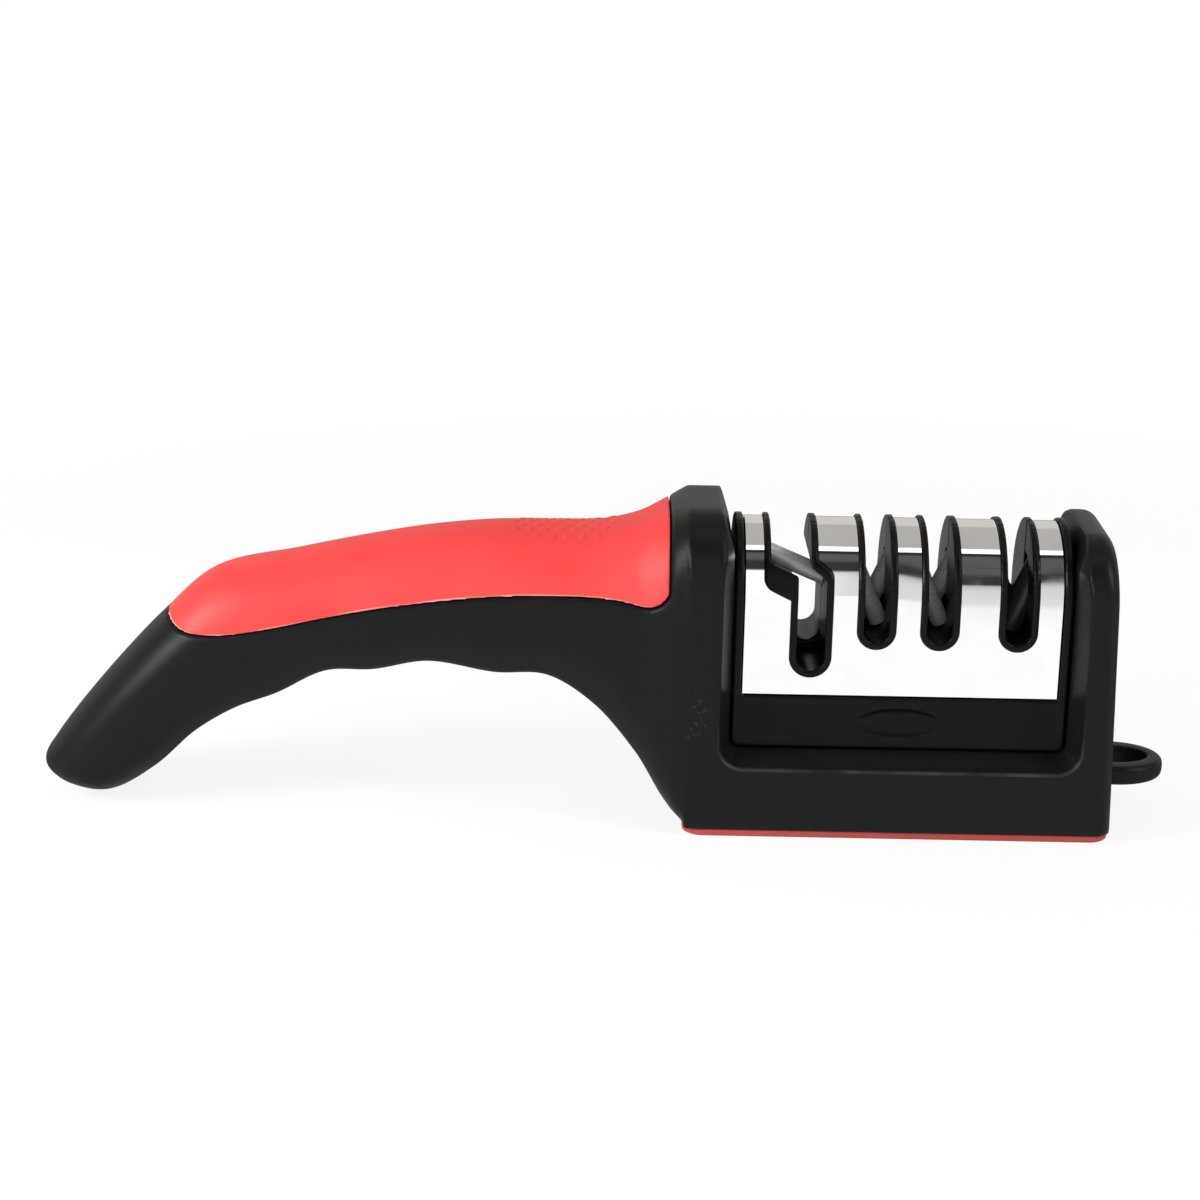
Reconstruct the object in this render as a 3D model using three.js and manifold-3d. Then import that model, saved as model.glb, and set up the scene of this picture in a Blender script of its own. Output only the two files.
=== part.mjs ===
// A hand-held knife sharpener: a black housing with an arched handle, a red soft grip on top of the
// handle, a red non-slip pad underneath, and a sharpening head that lifts out of the housing's cradle.
// The head is a black frame in two halves under a bent bright sheet. It carries a slanted rod for
// scissors and three pairs of crossed abrasive rods for knives.
//
// Millimetres, +Z up. X runs along the object, handle at -X and hanging loop at +X. Blades are drawn
// along Y. The origin is the centre of the pad's underside.
import * as THREE from "three";
import { mergeVertices } from "three/addons/utils/BufferGeometryUtils.js";
import Module from "manifold-3d";

const wasm = await Module();
wasm.setup();

// Clearances
const SEAT_GAP = 0.3; // between pieces that are fitted together and stay together
const SLIDE_GAP = 0.4; // each side of the head in its cradle
const ROD_GAP = 0.2; // round an abrasive rod or a screw in its seat

// Housing: base block with a post at each end
const BODY_LENGTH = 86;
const BODY_DEPTH = 42;
const PAD_THICKNESS = 1.5;
const PAD_INSET = 0.3; // the pad's edge behind the housing's wall
const LEFT_POST_HEIGHT = 64.5;
const RIGHT_POST_HEIGHT = 61;
const POST_SHOULDER_RADIUS = 13; // front and back of the posts' tops
const LEFT_CORNER_RADIUS = 1; // end corner of the left post's top
const RIGHT_CORNER_RADIUS = 3.2; // end corner of the right post's top
const PLAN_CORNER_RADIUS = 4;
const END_DRAFT = THREE.MathUtils.degToRad(1.75); // lean of the right end
const BASE_WALL = 2.5;
const BASE_CEILING = 2; // material between the ledge's edge and the base's hollow
const BASE_PLATE_THICKNESS = 2;

// Cradle: the opening between the posts, flared to the front and to the back
const FLARE_WIDTH = 2.3; // how much wider the opening is at the faces, each side
const LEDGE_DROP = 2.5; // how much lower the opening's edge is at the faces
const FLARE_CORNER_RADIUS = 5;
const CRADLE_CORNER_RADIUS = 1.6;
const LEAD_IN_HEIGHT = 57; // the posts' inner walls lean apart above this
const LEFT_LEAD_IN_ANGLE = THREE.MathUtils.degToRad(17);
const RIGHT_LEAD_IN_ANGLE = THREE.MathUtils.degToRad(27);

// Handle: ribs from its tip to the body. Each gives its top and bottom point, as shares of the handle's
// length from the body's end and of the left post's height, and its half width as a share of the
// handle's. Square says how square a rib's rounded section is (2 is an ellipse).
const HANDLE_LENGTH = 130;
const HANDLE_HALF_WIDTH = 14.3;
const HANDLE_SQUARENESS = 2.35;
const HANDLE_WALL = 2.5;
const NECK_STEP = 0.5; // how far the neck stays inside the body's outline
const NECK_LAP = 1.2; // how far the handle runs into the body
const HANDLE_RIBS = [
  { top: [0.9992, 0.0837], bottom: [0.9892, 0.0651], half: 0.154 },
  { top: [1.0023, 0.124], bottom: [0.9423, 0.031], half: 0.559 },
  { top: [0.9869, 0.1767], bottom: [0.89, 0.0233], half: 0.79 },
  { top: [0.95, 0.2791], bottom: [0.8231, 0.1023], half: 0.895 },
  { top: [0.8838, 0.4403], bottom: [0.76, 0.2202], half: 0.951 },
  { top: [0.8138, 0.5922], bottom: [0.6954, 0.3008], half: 0.979 },
  { top: [0.7308, 0.738], bottom: [0.6308, 0.3504], half: 0.993 },
  { top: [0.6, 0.8016], bottom: [0.5538, 0.4295], half: 1 },
  { top: [0.4923, 0.8496], bottom: [0.4808, 0.4357], half: 1.007 },
  { top: [0.3923, 0.8853], bottom: [0.3962, 0.4667], half: 1.014 },
  { top: [0.2923, 0.907], bottom: [0.2923, 0.4326], half: 1.021 },
  { top: [0.2077, 0.9085], bottom: [0.2108, 0.4279], half: 1.042 },
  { top: [0.1308, 0.9147], bottom: [0.1346, 0.3287], half: 1.091 },
  { top: [0.0715, 0.9395], bottom: [0.0692, 0.195], half: 1.189, square: 2.6 },
  { top: [0.0262, 0.976], bottom: [0.0246, 0.07], half: 1.315, square: 3.4 },
];
const NECK_SQUARENESS = 5; // of the last rib, which is the body's own outline
const HOLLOW_FROM = 3; // rib where the hollow in the handle starts
const HANDLE_STEPS = 2; // sections from one rib to the next
const HANDLE_SIDES = 20;

// Soft grip: the part of the handle above this line, given in the same shares as the ribs
const GRIP_SKIN = 2.5;
const GRIP_LINE = [
  [0.8077, 0.6233],
  [0.7731, 0.5891],
  [0.7231, 0.5829],
  [0.6462, 0.6062],
  [0.5231, 0.662],
  [0.4, 0.7054],
  [0.2823, 0.7302],
  [0.1769, 0.7364],
  [0.1, 0.7287],
  [0.0646, 0.7163],
];
const GRIP_END = 3.4; // distance of the grip's square end from the body
const GRIP_CORNER_RADIUS = 3.4;
const CARRIER_WALL = 1.8;
const CARRIER_SKIRT = 3; // how far the carrier reaches down inside the handle
const CARRIER_INSET = 6; // how far the carrier stops short of the grip's ends

// Hanging loop
const LOOP_REACH = 13.4;
const LOOP_WIDTH = 14;
const LOOP_THICKNESS = 4;
const LOOP_HEIGHT = 9.2;
const LOOP_HOLE = 7.7;

// Sharpening head
const HEAD_WIDTH = 66.6;
const HEAD_BOTTOM = 17;
const HEAD_AXIS = 46.6; // height of the axis of the rounded top
const SHEET_RADIUS = 14;
const SHEET_THICKNESS = 0.6;
const SHEET_BOTTOM = 28;
const RIM_HEIGHT = 0.6; // how far the slot rims stand proud of the sheet
const CHEEK_WIDTH = 1.7;
const HEAD_CORNER_RADIUS = 1.4;
const FRAME_WALL = 3;
const DIMPLE_LENGTH = 17;
const DIMPLE_HEIGHT = 6;
const DIMPLE_DEPTH = 0.8;
const LEG_PLACE = 0.3; // of a leg's middle from the head's, as a share of its width
const LEG_WIDTH = 12;
const LEG_THICKNESS = 3;
const LEG_SETBACK = 4; // of a leg's inner face from the head's middle plane
const LEG_LENGTH = 8;

// Knife slots, and the crossed rods in them. A place is a share of the head's width from its left end. The
// front rod's lean is -1 to the left, 1 to the right.
const KNIFE_SLOTS = [
  { name: "coarse", place: 0.422, frontLean: -1, colour: 0x4c4e4c },
  { name: "medium", place: 0.6096, frontLean: -1, colour: 0x5a5c5a },
  { name: "fine", place: 0.8423, frontLean: 1, colour: 0x1d1f1e },
];
const SLOT_WIDTH = 5;
const SLOT_BOTTOM = 39;
const RIM_WIDTH = 1.3;
const ROD_DIAMETER = 3.8;
const ROD_ANGLE = THREE.MathUtils.degToRad(24); // from upright
const ROD_CROSSING = 48; // height of the bottom of the V between two rods
const ROD_ABOVE = 10; // rod length above and below the crossing
const ROD_BELOW = 6.2;
const ROD_CHAMFER = 0.5;
const WEB_THICKNESS = 2; // of the web that closes a knife slot behind its rods
const WEB_DROP = 2; // from the bottom of the V to the web's top

// Scissors slot: a mouth, a slanted shelf, and a pocket that is set to one side
const MOUTH_PLACE = 0.1051; // of its left wall, as for the knife slots
const MOUTH_WIDTH = 7.9;
const POCKET_SHIFT = 5.4; // from the mouth's left wall to the pocket's
const POCKET_WIDTH = 5.6;
const POCKET_BOTTOM = 33;
const REAR_POCKET_RISE = 1.9; // how much shallower the pocket is in the rear half
const SHELF_WALL = 2.5; // thickness of the front wall that ends in the shelf
const SHELF_SINK = 4.2; // how much lower the slot is behind that wall
const SHELF_HEIGHT = 54.6; // where the shelf leaves the mouth's left wall
const SHELF_DROP = 2.6;
const SHELF_RIM = 3.2; // extra rim under the shelf
const JOG_HEIGHT = 53.7; // where the mouth's right wall steps out to the pocket
const JOG_DROP = 2.2;
const SCISSOR_ROD_DIAMETER = 3.8;
const SCISSOR_ROD_LENGTH = 14.4;
const SCISSOR_ROD_SLOPE = THREE.MathUtils.degToRad(-23);
const SCISSOR_ROD_HEIGHT = 51.2; // of its middle, which is in the middle of the mouth and pocket

// Screws: four under the pad, and four that hold the halves of the head together
const SCREW_DIAMETER = 2.6;
const SCREW_HEAD_DIAMETER = 5.2;
const SCREW_HEAD_HEIGHT = 1.2;
const BASE_SCREW_LENGTH = 8;
const BASE_SCREW_INSET_X = 9; // from the body's ends and faces
const BASE_SCREW_INSET_Y = 7.5;
const BOSS_DIAMETER = 7;
const FRAME_SCREW_LENGTH = 16;
const FRAME_SCREW_INSET = 4; // from the head's ends
const FRAME_SCREW_HEIGHT = 32;

// Roundness of what is turned or has an arc
const ARC_STEPS = 5;
const ARCH_STEPS = 12;
const TURN_STEPS = 12;
const DIMPLE_SIDES = 16;
const DIMPLE_STEPS = 6;
const REACH = 250; // past every surface, for cutting
const LAP = 1; // past one surface, so that a cut or a joint goes through it

// Where the pieces meet
const BODY_LEFT = -BODY_LENGTH / 2;
const BODY_RIGHT = BODY_LENGTH / 2;
const FRAME_RADIUS = SHEET_RADIUS - SHEET_THICKNESS - SEAT_GAP;
const RIM_RADIUS = SHEET_RADIUS + RIM_HEIGHT;
const CRADLE_HALF_WIDTH = HEAD_WIDTH / 2 + SLIDE_GAP;
const CRADLE_HALF_DEPTH = RIM_RADIUS + SLIDE_GAP;
const CRADLE_FLOOR = HEAD_BOTTOM - SEAT_GAP;
const LEDGE_EDGE = CRADLE_FLOOR - LEDGE_DROP;
const HOLLOW_TOP = LEDGE_EDGE - BASE_CEILING;
const PLATE_TOP = PAD_THICKNESS + BASE_PLATE_THICKNESS;
const alongHead = (share) => (share - 0.5) * HEAD_WIDTH;
const slotCentres = KNIFE_SLOTS.map(({ place }) => alongHead(place));
const MOUTH_LEFT = alongHead(MOUTH_PLACE);
const MOUTH_RIGHT = MOUTH_LEFT + MOUTH_WIDTH;
const POCKET_LEFT = MOUTH_LEFT + POCKET_SHIFT;
const POCKET_RIGHT = POCKET_LEFT + POCKET_WIDTH;

// Solids

function solid(geometry) {
  const loose = geometry.index ? geometry.toNonIndexed() : geometry;
  const bare = new THREE.BufferGeometry();
  bare.setAttribute("position", loose.getAttribute("position"));
  const merged = mergeVertices(bare, 1e-4);
  const vertProperties = merged.getAttribute("position").array;
  const triVerts = new Uint32Array(merged.index.array);
  return new wasm.Manifold(new wasm.Mesh({ numProp: 3, vertProperties, triVerts }));
}

function geometryOf(made) {
  const { vertProperties, triVerts } = made.getMesh();
  const geometry = new THREE.BufferGeometry();
  geometry.setAttribute("position", new THREE.BufferAttribute(vertProperties, 3));
  geometry.setIndex(new THREE.BufferAttribute(triVerts, 1));
  geometry.computeVertexNormals();
  return geometry;
}

function union(...solids) {
  return solids.reduce((whole, next) => whole.add(next));
}

function extruded(shape, depth, curveSegments = ARC_STEPS) {
  return new THREE.ExtrudeGeometry(shape, { depth, bevelEnabled: false, curveSegments });
}

// A shape drawn in X and Z, from y0 to y1.
function alongY(shape, y0, y1) {
  const geometry = extruded(shape, y1 - y0);
  geometry.rotateX(Math.PI / 2);
  geometry.translate(0, y1, 0);
  return solid(geometry);
}

// A shape drawn in Y and Z, from x0 to x1.
function alongX(shape, x0, x1, curveSegments = ARCH_STEPS) {
  const geometry = extruded(shape, x1 - x0, curveSegments);
  const turn = new THREE.Matrix4();
  turn.makeBasis(new THREE.Vector3(0, 1, 0), new THREE.Vector3(0, 0, 1), new THREE.Vector3(1, 0, 0));
  geometry.applyMatrix4(turn);
  geometry.translate(x0, 0, 0);
  return solid(geometry);
}

// A shape drawn in X and Y, from z0 to z1.
function alongZ(shape, z0, z1) {
  const geometry = extruded(shape, z1 - z0);
  geometry.translate(0, 0, z0);
  return solid(geometry);
}

function box(x0, x1, y0, y1, z0, z1) {
  const geometry = new THREE.BoxGeometry(x1 - x0, y1 - y0, z1 - z0);
  geometry.translate((x0 + x1) / 2, (y0 + y1) / 2, (z0 + z1) / 2);
  return solid(geometry);
}

// Rings of as many points each, joined in order and closed at both ends, with its faces outwards.
function loft(rings) {
  const positions = [];
  const triangle = (a, b, c) => positions.push(...a.toArray(), ...b.toArray(), ...c.toArray());
  const sum = (ring) => ring.reduce((total, p) => total.add(p), new THREE.Vector3());
  const middle = (ring) => sum(ring).divideScalar(ring.length);
  const next = (ring, i) => ring[(i + 1) % ring.length];
  for (let k = 0; k + 1 < rings.length; k++) {
    rings[k].forEach((a, i) => {
      const b = next(rings[k], i);
      const c = next(rings[k + 1], i);
      triangle(a, b, c);
      triangle(a, c, rings[k + 1][i]);
    });
  }
  const first = rings[0];
  const last = rings[rings.length - 1];
  const start = middle(first);
  const end = middle(last);
  first.forEach((a, i) => triangle(start, next(first, i), a));
  last.forEach((a, i) => triangle(end, a, next(last, i)));
  const geometry = new THREE.BufferGeometry();
  geometry.setAttribute("position", new THREE.Float32BufferAttribute(positions, 3));
  const made = solid(geometry);
  return made.volume() < 0 ? loft(rings.map((ring) => ring.slice().reverse())) : made;
}

// A rectangle with its corners rounded by four radii, from the lower left anticlockwise.
function roundedRectangle(x0, x1, y0, y1, radii) {
  const [a, b, c, d] = radii;
  const shape = new THREE.Shape();
  const corner = (x, y, radius, from) => {
    if (radius > 0) shape.absarc(x, y, radius, from, from + Math.PI / 2, false);
    else shape.lineTo(x, y);
  };
  shape.moveTo(x0 + a, y0);
  corner(x1 - b, y0 + b, b, -Math.PI / 2);
  corner(x1 - c, y1 - c, c, 0);
  corner(x0 + d, y1 - d, d, Math.PI / 2);
  corner(x0 + a, y0 + a, a, Math.PI);
  return shape;
}

// An upright wall with a half-round top, in Y and Z.
function arch(radius, bottom) {
  const shape = new THREE.Shape();
  shape.moveTo(-radius, bottom);
  shape.lineTo(radius, bottom);
  shape.absarc(0, HEAD_AXIS, radius, 0, Math.PI, false);
  return shape;
}

// Handle

// The handle's guide curves, through its ribs and through the body's own outline at the neck.
const RIB_COUNT = HANDLE_RIBS.length;
const neck = BODY_LEFT + NECK_LAP;
const onHandle = ([share, rise]) => [BODY_LEFT - share * HANDLE_LENGTH, rise * LEFT_POST_HEIGHT];
const curve = (points) => new THREE.CatmullRomCurve3(points, false, "centripetal");
const guide = (line, last) => {
  const points = [...line.map(onHandle), [neck, last]];
  return curve(points.map(([x, z]) => new THREE.Vector3(x, 0, z)));
};
const handleTop = guide(HANDLE_RIBS.map((rib) => rib.top), LEFT_POST_HEIGHT - NECK_STEP);
const handleBottom = guide(HANDLE_RIBS.map((rib) => rib.bottom), PAD_THICKNESS + NECK_STEP);
const handleHalf = curve([
  ...HANDLE_RIBS.map(({ half, square = HANDLE_SQUARENESS }, i) => {
    return new THREE.Vector3(i, half * HANDLE_HALF_WIDTH, square);
  }),
  new THREE.Vector3(RIB_COUNT, BODY_DEPTH / 2 - NECK_STEP, NECK_SQUARENESS),
]);

// The handle's section at a place counted in ribs from the tip, taken in by an inset.
function handleRing(place, inset) {
  const t = Math.min(place / RIB_COUNT, 1);
  const top = handleTop.getPoint(t);
  const bottom = handleBottom.getPoint(t);
  const centre = top.clone().add(bottom).multiplyScalar(0.5);
  const up = top.clone().sub(centre);
  up.setLength(up.length() - inset);
  const { y, z: square } = handleHalf.getPoint(t);
  const half = y - inset;
  const power = (value) => Math.sign(value) * Math.abs(value) ** (2 / square);
  return Array.from({ length: HANDLE_SIDES }, (_, i) => {
    const angle = (2 * Math.PI * i) / HANDLE_SIDES;
    const point = centre.clone().addScaledVector(up, power(Math.cos(angle)));
    point.y += half * power(Math.sin(angle));
    return point;
  });
}

// The handle taken in by an inset, from one rib to another.
function handle(inset, from, to, steps) {
  const count = Math.round((to - from) * steps);
  const place = (i) => from + ((to - from) * i) / count;
  return loft(Array.from({ length: count + 1 }, (_, i) => handleRing(place(i), inset)));
}

// What lies above the grip's lower line, which is moved down and its ends out by a gap.
function gripRegion(gap, inset) {
  const line = GRIP_LINE.map(onHandle).map(([x, z]) => new THREE.Vector2(x, z - gap));
  const right = BODY_LEFT - GRIP_END + gap - inset;
  const radius = GRIP_CORNER_RADIUS;
  const corner = line[line.length - 1];
  const shape = new THREE.Shape();
  shape.moveTo(line[0].x - REACH - gap, line[0].y + REACH);
  shape.lineTo(line[0].x - gap, line[0].y);
  shape.splineThru(line.slice(1));
  shape.quadraticCurveTo(right - radius / 2, corner.y - gap, right, corner.y + radius);
  shape.lineTo(right, corner.y + REACH);
  return alongY(shape, -REACH, REACH);
}

// Housing

function bodyBlock() {
  const half = BODY_DEPTH / 2;
  const rounding = [0, 0, POST_SHOULDER_RADIUS, POST_SHOULDER_RADIUS];
  const shoulders = (height) => roundedRectangle(-half, half, PAD_THICKNESS, height, rounding);
  const left = alongX(shoulders(LEFT_POST_HEIGHT), BODY_LEFT, 0, ARCH_STEPS / 2);
  const right = alongX(shoulders(RIGHT_POST_HEIGHT), -LAP, BODY_RIGHT, ARCH_STEPS / 2);
  const lean = Math.tan(END_DRAFT) * (RIGHT_POST_HEIGHT - PAD_THICKNESS);
  const front = new THREE.Shape();
  const corner = (x, top, radius, from) => {
    front.absarc(x, top - radius, radius, from, from + Math.PI / 2, false);
  };
  front.moveTo(BODY_LEFT, PAD_THICKNESS);
  front.lineTo(BODY_RIGHT, PAD_THICKNESS);
  corner(BODY_RIGHT - lean - RIGHT_CORNER_RADIUS, RIGHT_POST_HEIGHT, RIGHT_CORNER_RADIUS, 0);
  front.lineTo(0, RIGHT_POST_HEIGHT);
  front.lineTo(0, LEFT_POST_HEIGHT);
  corner(BODY_LEFT + LEFT_CORNER_RADIUS, LEFT_POST_HEIGHT, LEFT_CORNER_RADIUS, Math.PI / 2);
  const elevation = alongY(front, -BODY_DEPTH, BODY_DEPTH);
  return union(left, right).intersect(elevation).intersect(alongZ(planOutline(0), -REACH, REACH));
}

function planOutline(inset) {
  const radii = Array(4).fill(PLAN_CORNER_RADIUS);
  const half = BODY_DEPTH / 2 - inset;
  return roundedRectangle(BODY_LEFT + inset, BODY_RIGHT - inset, -half, half, radii);
}

// One outline of the cradle's opening, at a depth y: straight walls, round corners, leaning lead-in.
function cradleRing(y, halfWidth, floor, radius) {
  const top = LEAD_IN_HEIGHT + REACH;
  const lean = (angle) => Math.tan(angle) * REACH;
  const shape = new THREE.Shape();
  shape.moveTo(-halfWidth - lean(LEFT_LEAD_IN_ANGLE), top);
  shape.lineTo(-halfWidth, LEAD_IN_HEIGHT);
  shape.absarc(-halfWidth + radius, floor + radius, radius, Math.PI, 1.5 * Math.PI, false);
  shape.absarc(halfWidth - radius, floor + radius, radius, 1.5 * Math.PI, 2 * Math.PI, false);
  shape.lineTo(halfWidth, LEAD_IN_HEIGHT);
  shape.lineTo(halfWidth + lean(RIGHT_LEAD_IN_ANGLE), top);
  return shape.getPoints(ARC_STEPS).map((p) => new THREE.Vector3(p.x, y, p.y));
}

function cradleOpening() {
  const face = BODY_DEPTH / 2;
  const narrow = (y) => cradleRing(y, CRADLE_HALF_WIDTH, CRADLE_FLOOR, CRADLE_CORNER_RADIUS);
  const wide = (y) => cradleRing(y, CRADLE_HALF_WIDTH + FLARE_WIDTH, LEDGE_EDGE, FLARE_CORNER_RADIUS);
  const deep = CRADLE_HALF_DEPTH;
  return loft([wide(-REACH), wide(-face), narrow(-deep), narrow(deep), wide(face), wide(REACH)]);
}

// The corners of the base screws' rectangle, in plan.
const BASE_SCREW_PLACES = [-1, 1].flatMap((sx) =>
  [-1, 1].map((sy) => {
    const x = sx * (BODY_LENGTH / 2 - BASE_SCREW_INSET_X);
    return new THREE.Vector2(x, sy * (BODY_DEPTH / 2 - BASE_SCREW_INSET_Y));
  }),
);

function upright(diameter, place, z0, z1) {
  const geometry = new THREE.CylinderGeometry(diameter / 2, diameter / 2, z1 - z0, TURN_STEPS);
  geometry.rotateX(Math.PI / 2);
  geometry.translate(place.x, place.y, (z0 + z1) / 2);
  return solid(geometry);
}

// The hollow under the base, with a boss for each screw left standing in it.
function baseHollow() {
  const hollow = alongZ(planOutline(BASE_WALL), -REACH, HOLLOW_TOP);
  const bosses = BASE_SCREW_PLACES.map((place) => upright(BOSS_DIAMETER, place, PLATE_TOP, HOLLOW_TOP + LAP));
  const pilotTop = PAD_THICKNESS + SCREW_HEAD_HEIGHT + BASE_SCREW_LENGTH + SEAT_GAP;
  const pilots = BASE_SCREW_PLACES.map((place) => upright(SCREW_DIAMETER + 2 * ROD_GAP, place, 0, pilotTop));
  return union(hollow.subtract(union(...bosses)), ...pilots);
}

// The places of the head's legs, as signs across and along the head.
const LEG_SIDES = [-1, 1].flatMap((sx) => [-1, 1].map((sy) => [sx, sy]));

// A leg under the head, grown by a gap for the slot that it stands in.
function leg([sx, sy], gap, top) {
  const middle = sx * LEG_PLACE * HEAD_WIDTH;
  const inner = sy * (LEG_SETBACK - gap);
  const outer = sy * (LEG_SETBACK + LEG_THICKNESS + gap);
  const half = LEG_WIDTH / 2 + gap;
  const bottom = HEAD_BOTTOM - LEG_LENGTH - gap;
  return box(middle - half, middle + half, Math.min(inner, outer), Math.max(inner, outer), bottom, top);
}

function hangingLoop() {
  const radius = LOOP_WIDTH / 2;
  const centre = BODY_RIGHT + LOOP_REACH - radius;
  const shape = new THREE.Shape();
  shape.moveTo(BODY_RIGHT - BASE_WALL, radius);
  shape.lineTo(BODY_RIGHT - BASE_WALL, -radius);
  shape.absarc(centre, 0, radius, -Math.PI / 2, Math.PI / 2, false);
  const hole = upright(LOOP_HOLE, new THREE.Vector2(centre, 0), -REACH, REACH);
  return alongZ(shape, LOOP_HEIGHT - LOOP_THICKNESS / 2, LOOP_HEIGHT + LOOP_THICKNESS / 2).subtract(hole);
}

function mainHousing() {
  const handleHollow = handle(HANDLE_WALL, HOLLOW_FROM, RIB_COUNT, HANDLE_STEPS);
  const short = box(-REACH, BODY_LEFT - GRIP_END, -REACH, REACH, -REACH, REACH);
  const legSlots = LEG_SIDES.map((side) => leg(side, SLIDE_GAP, CRADLE_FLOOR + LAP));
  return union(bodyBlock(), handle(0, 0, RIB_COUNT, HANDLE_STEPS))
    .subtract(gripRegion(SEAT_GAP, 0))
    .subtract(handleHollow.intersect(short))
    .subtract(cradleOpening())
    .add(hangingLoop())
    .subtract(baseHollow())
    .subtract(union(...legSlots));
}

function gripCover() {
  const skin = handle(0, 0, RIB_COUNT, HANDLE_STEPS).intersect(gripRegion(0, 0));
  return skin.subtract(handle(GRIP_SKIN, HOLLOW_FROM, RIB_COUNT, HANDLE_STEPS));
}

function gripCarrier() {
  const outer = GRIP_SKIN + SEAT_GAP;
  const shell = handle(outer, HOLLOW_FROM + 1, RIB_COUNT, HANDLE_STEPS);
  const inside = handle(outer + CARRIER_WALL, HOLLOW_FROM, RIB_COUNT, HANDLE_STEPS);
  const [nose] = onHandle(GRIP_LINE[0]);
  const length = box(nose + CARRIER_INSET, REACH, -REACH, REACH, -REACH, REACH);
  return shell.subtract(inside).intersect(gripRegion(CARRIER_SKIRT, CARRIER_INSET)).intersect(length);
}

// Base

function basePlate() {
  const plate = alongZ(planOutline(BASE_WALL + SEAT_GAP), PAD_THICKNESS, PLATE_TOP);
  const seat = PAD_THICKNESS + SCREW_HEAD_HEIGHT;
  const holes = BASE_SCREW_PLACES.flatMap((place) => [
    upright(SCREW_HEAD_DIAMETER + 2 * ROD_GAP, place, 0, seat),
    upright(SCREW_DIAMETER + 2 * ROD_GAP, place, 0, REACH),
  ]);
  return plate.subtract(union(...holes));
}

function basePad() {
  return alongZ(planOutline(PAD_INSET), 0, PAD_THICKNESS);
}

// A profile of radii and heights, turned about Z.
function turned(profile) {
  const points = profile.map(([radius, height]) => new THREE.Vector2(radius, height));
  return new THREE.LatheGeometry(points, TURN_STEPS).rotateX(Math.PI / 2);
}

// A screw with its head's face at the origin and its shank along +Z.
function screw(length) {
  const point = SCREW_DIAMETER / 2;
  const profile = [
    [0, 0],
    [SCREW_HEAD_DIAMETER / 2, 0],
    [SCREW_HEAD_DIAMETER / 2, SCREW_HEAD_HEIGHT],
    [SCREW_DIAMETER / 2, SCREW_HEAD_HEIGHT],
    [SCREW_DIAMETER / 2, SCREW_HEAD_HEIGHT + length - point],
    [0, SCREW_HEAD_HEIGHT + length],
  ];
  return geometryOf(solid(turned(profile)));
}

// Sharpening head

// A knife slot's outline in X and Z, grown by a margin.
function knifeSlot(centre, margin) {
  const half = SLOT_WIDTH / 2 + margin;
  const shape = new THREE.Shape();
  shape.moveTo(centre + half, HEAD_AXIS + REACH);
  shape.lineTo(centre - half, HEAD_AXIS + REACH);
  shape.absarc(centre, SLOT_BOTTOM + SLOT_WIDTH / 2, half, Math.PI, 2 * Math.PI, false);
  return shape;
}

// The scissors slot's outline with its shelf and bottom at some heights, grown by a margin, and by the
// shelf's own rim below the shelf.
function scissorSlot(margin, shelfHeight, bottom) {
  const half = (POCKET_RIGHT - POCKET_LEFT) / 2;
  const middle = POCKET_LEFT + half;
  const shelf = shelfHeight - margin - (margin > 0 ? SHELF_RIM : 0);
  const jog = JOG_HEIGHT + margin;
  const shape = new THREE.Shape();
  shape.moveTo(MOUTH_LEFT - margin, HEAD_AXIS + REACH);
  shape.lineTo(MOUTH_LEFT - margin, shelf);
  shape.lineTo(POCKET_LEFT - margin, shelf - SHELF_DROP);
  shape.absarc(middle, bottom + half, half + margin, Math.PI, 2 * Math.PI, false);
  shape.lineTo(POCKET_RIGHT + margin, jog - JOG_DROP);
  shape.lineTo(MOUTH_RIGHT + margin, jog);
  shape.lineTo(MOUTH_RIGHT + margin, HEAD_AXIS + REACH);
  return shape;
}

// Every slot as a solid through the head: margin 0 is the slot itself, RIM_WIDTH the outside of its rim.
// The shelf ends the front wall only, and the pocket is shallower in the rear half.
function slots(margin) {
  const knives = slotCentres.map((centre) => alongY(knifeSlot(centre, margin), -REACH, REACH));
  const sunk = SHELF_HEIGHT - SHELF_SINK;
  const wall = SHELF_WALL - RIM_RADIUS;
  const front = alongY(scissorSlot(margin, SHELF_HEIGHT, POCKET_BOTTOM), -REACH, 0);
  const rear = alongY(scissorSlot(margin, sunk, POCKET_BOTTOM + REAR_POCKET_RISE), 0, REACH);
  const behindWall = alongY(scissorSlot(0, sunk, POCKET_BOTTOM), wall, LAP);
  return margin > 0 ? union(...knives, front, rear) : union(...knives, front, rear, behindWall);
}

// The webs in the rear half that close the knife slots under the crossing of the rods.
function slotWebs() {
  const half = SLOT_WIDTH / 2 + LAP;
  const y0 = ROD_DIAMETER + ROD_GAP + SEAT_GAP;
  const web = (x) => box(x - half, x + half, y0, y0 + WEB_THICKNESS, SLOT_BOTTOM, ROD_CROSSING - WEB_DROP);
  return union(...slotCentres.map(web));
}

// The axis of a rod in a knife slot. Side -1 is in front, and 1 behind, where the rod leans the other way.
function rodAxis({ place, frontLean }, side) {
  const radius = ROD_DIAMETER / 2;
  const lean = -side * frontLean;
  const along = new THREE.Vector3(lean * Math.sin(ROD_ANGLE), 0, Math.cos(ROD_ANGLE));
  const edge = new THREE.Vector3(alongHead(place), side * (radius + ROD_GAP), ROD_CROSSING);
  const across = new THREE.Vector3(-lean * Math.cos(ROD_ANGLE), 0, Math.sin(ROD_ANGLE));
  const crossing = edge.addScaledVector(across, -radius);
  const length = ROD_BELOW + ROD_ABOVE;
  const middle = crossing.addScaledVector(along, (ROD_ABOVE - ROD_BELOW) / 2);
  return { middle, along, length };
}

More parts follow.
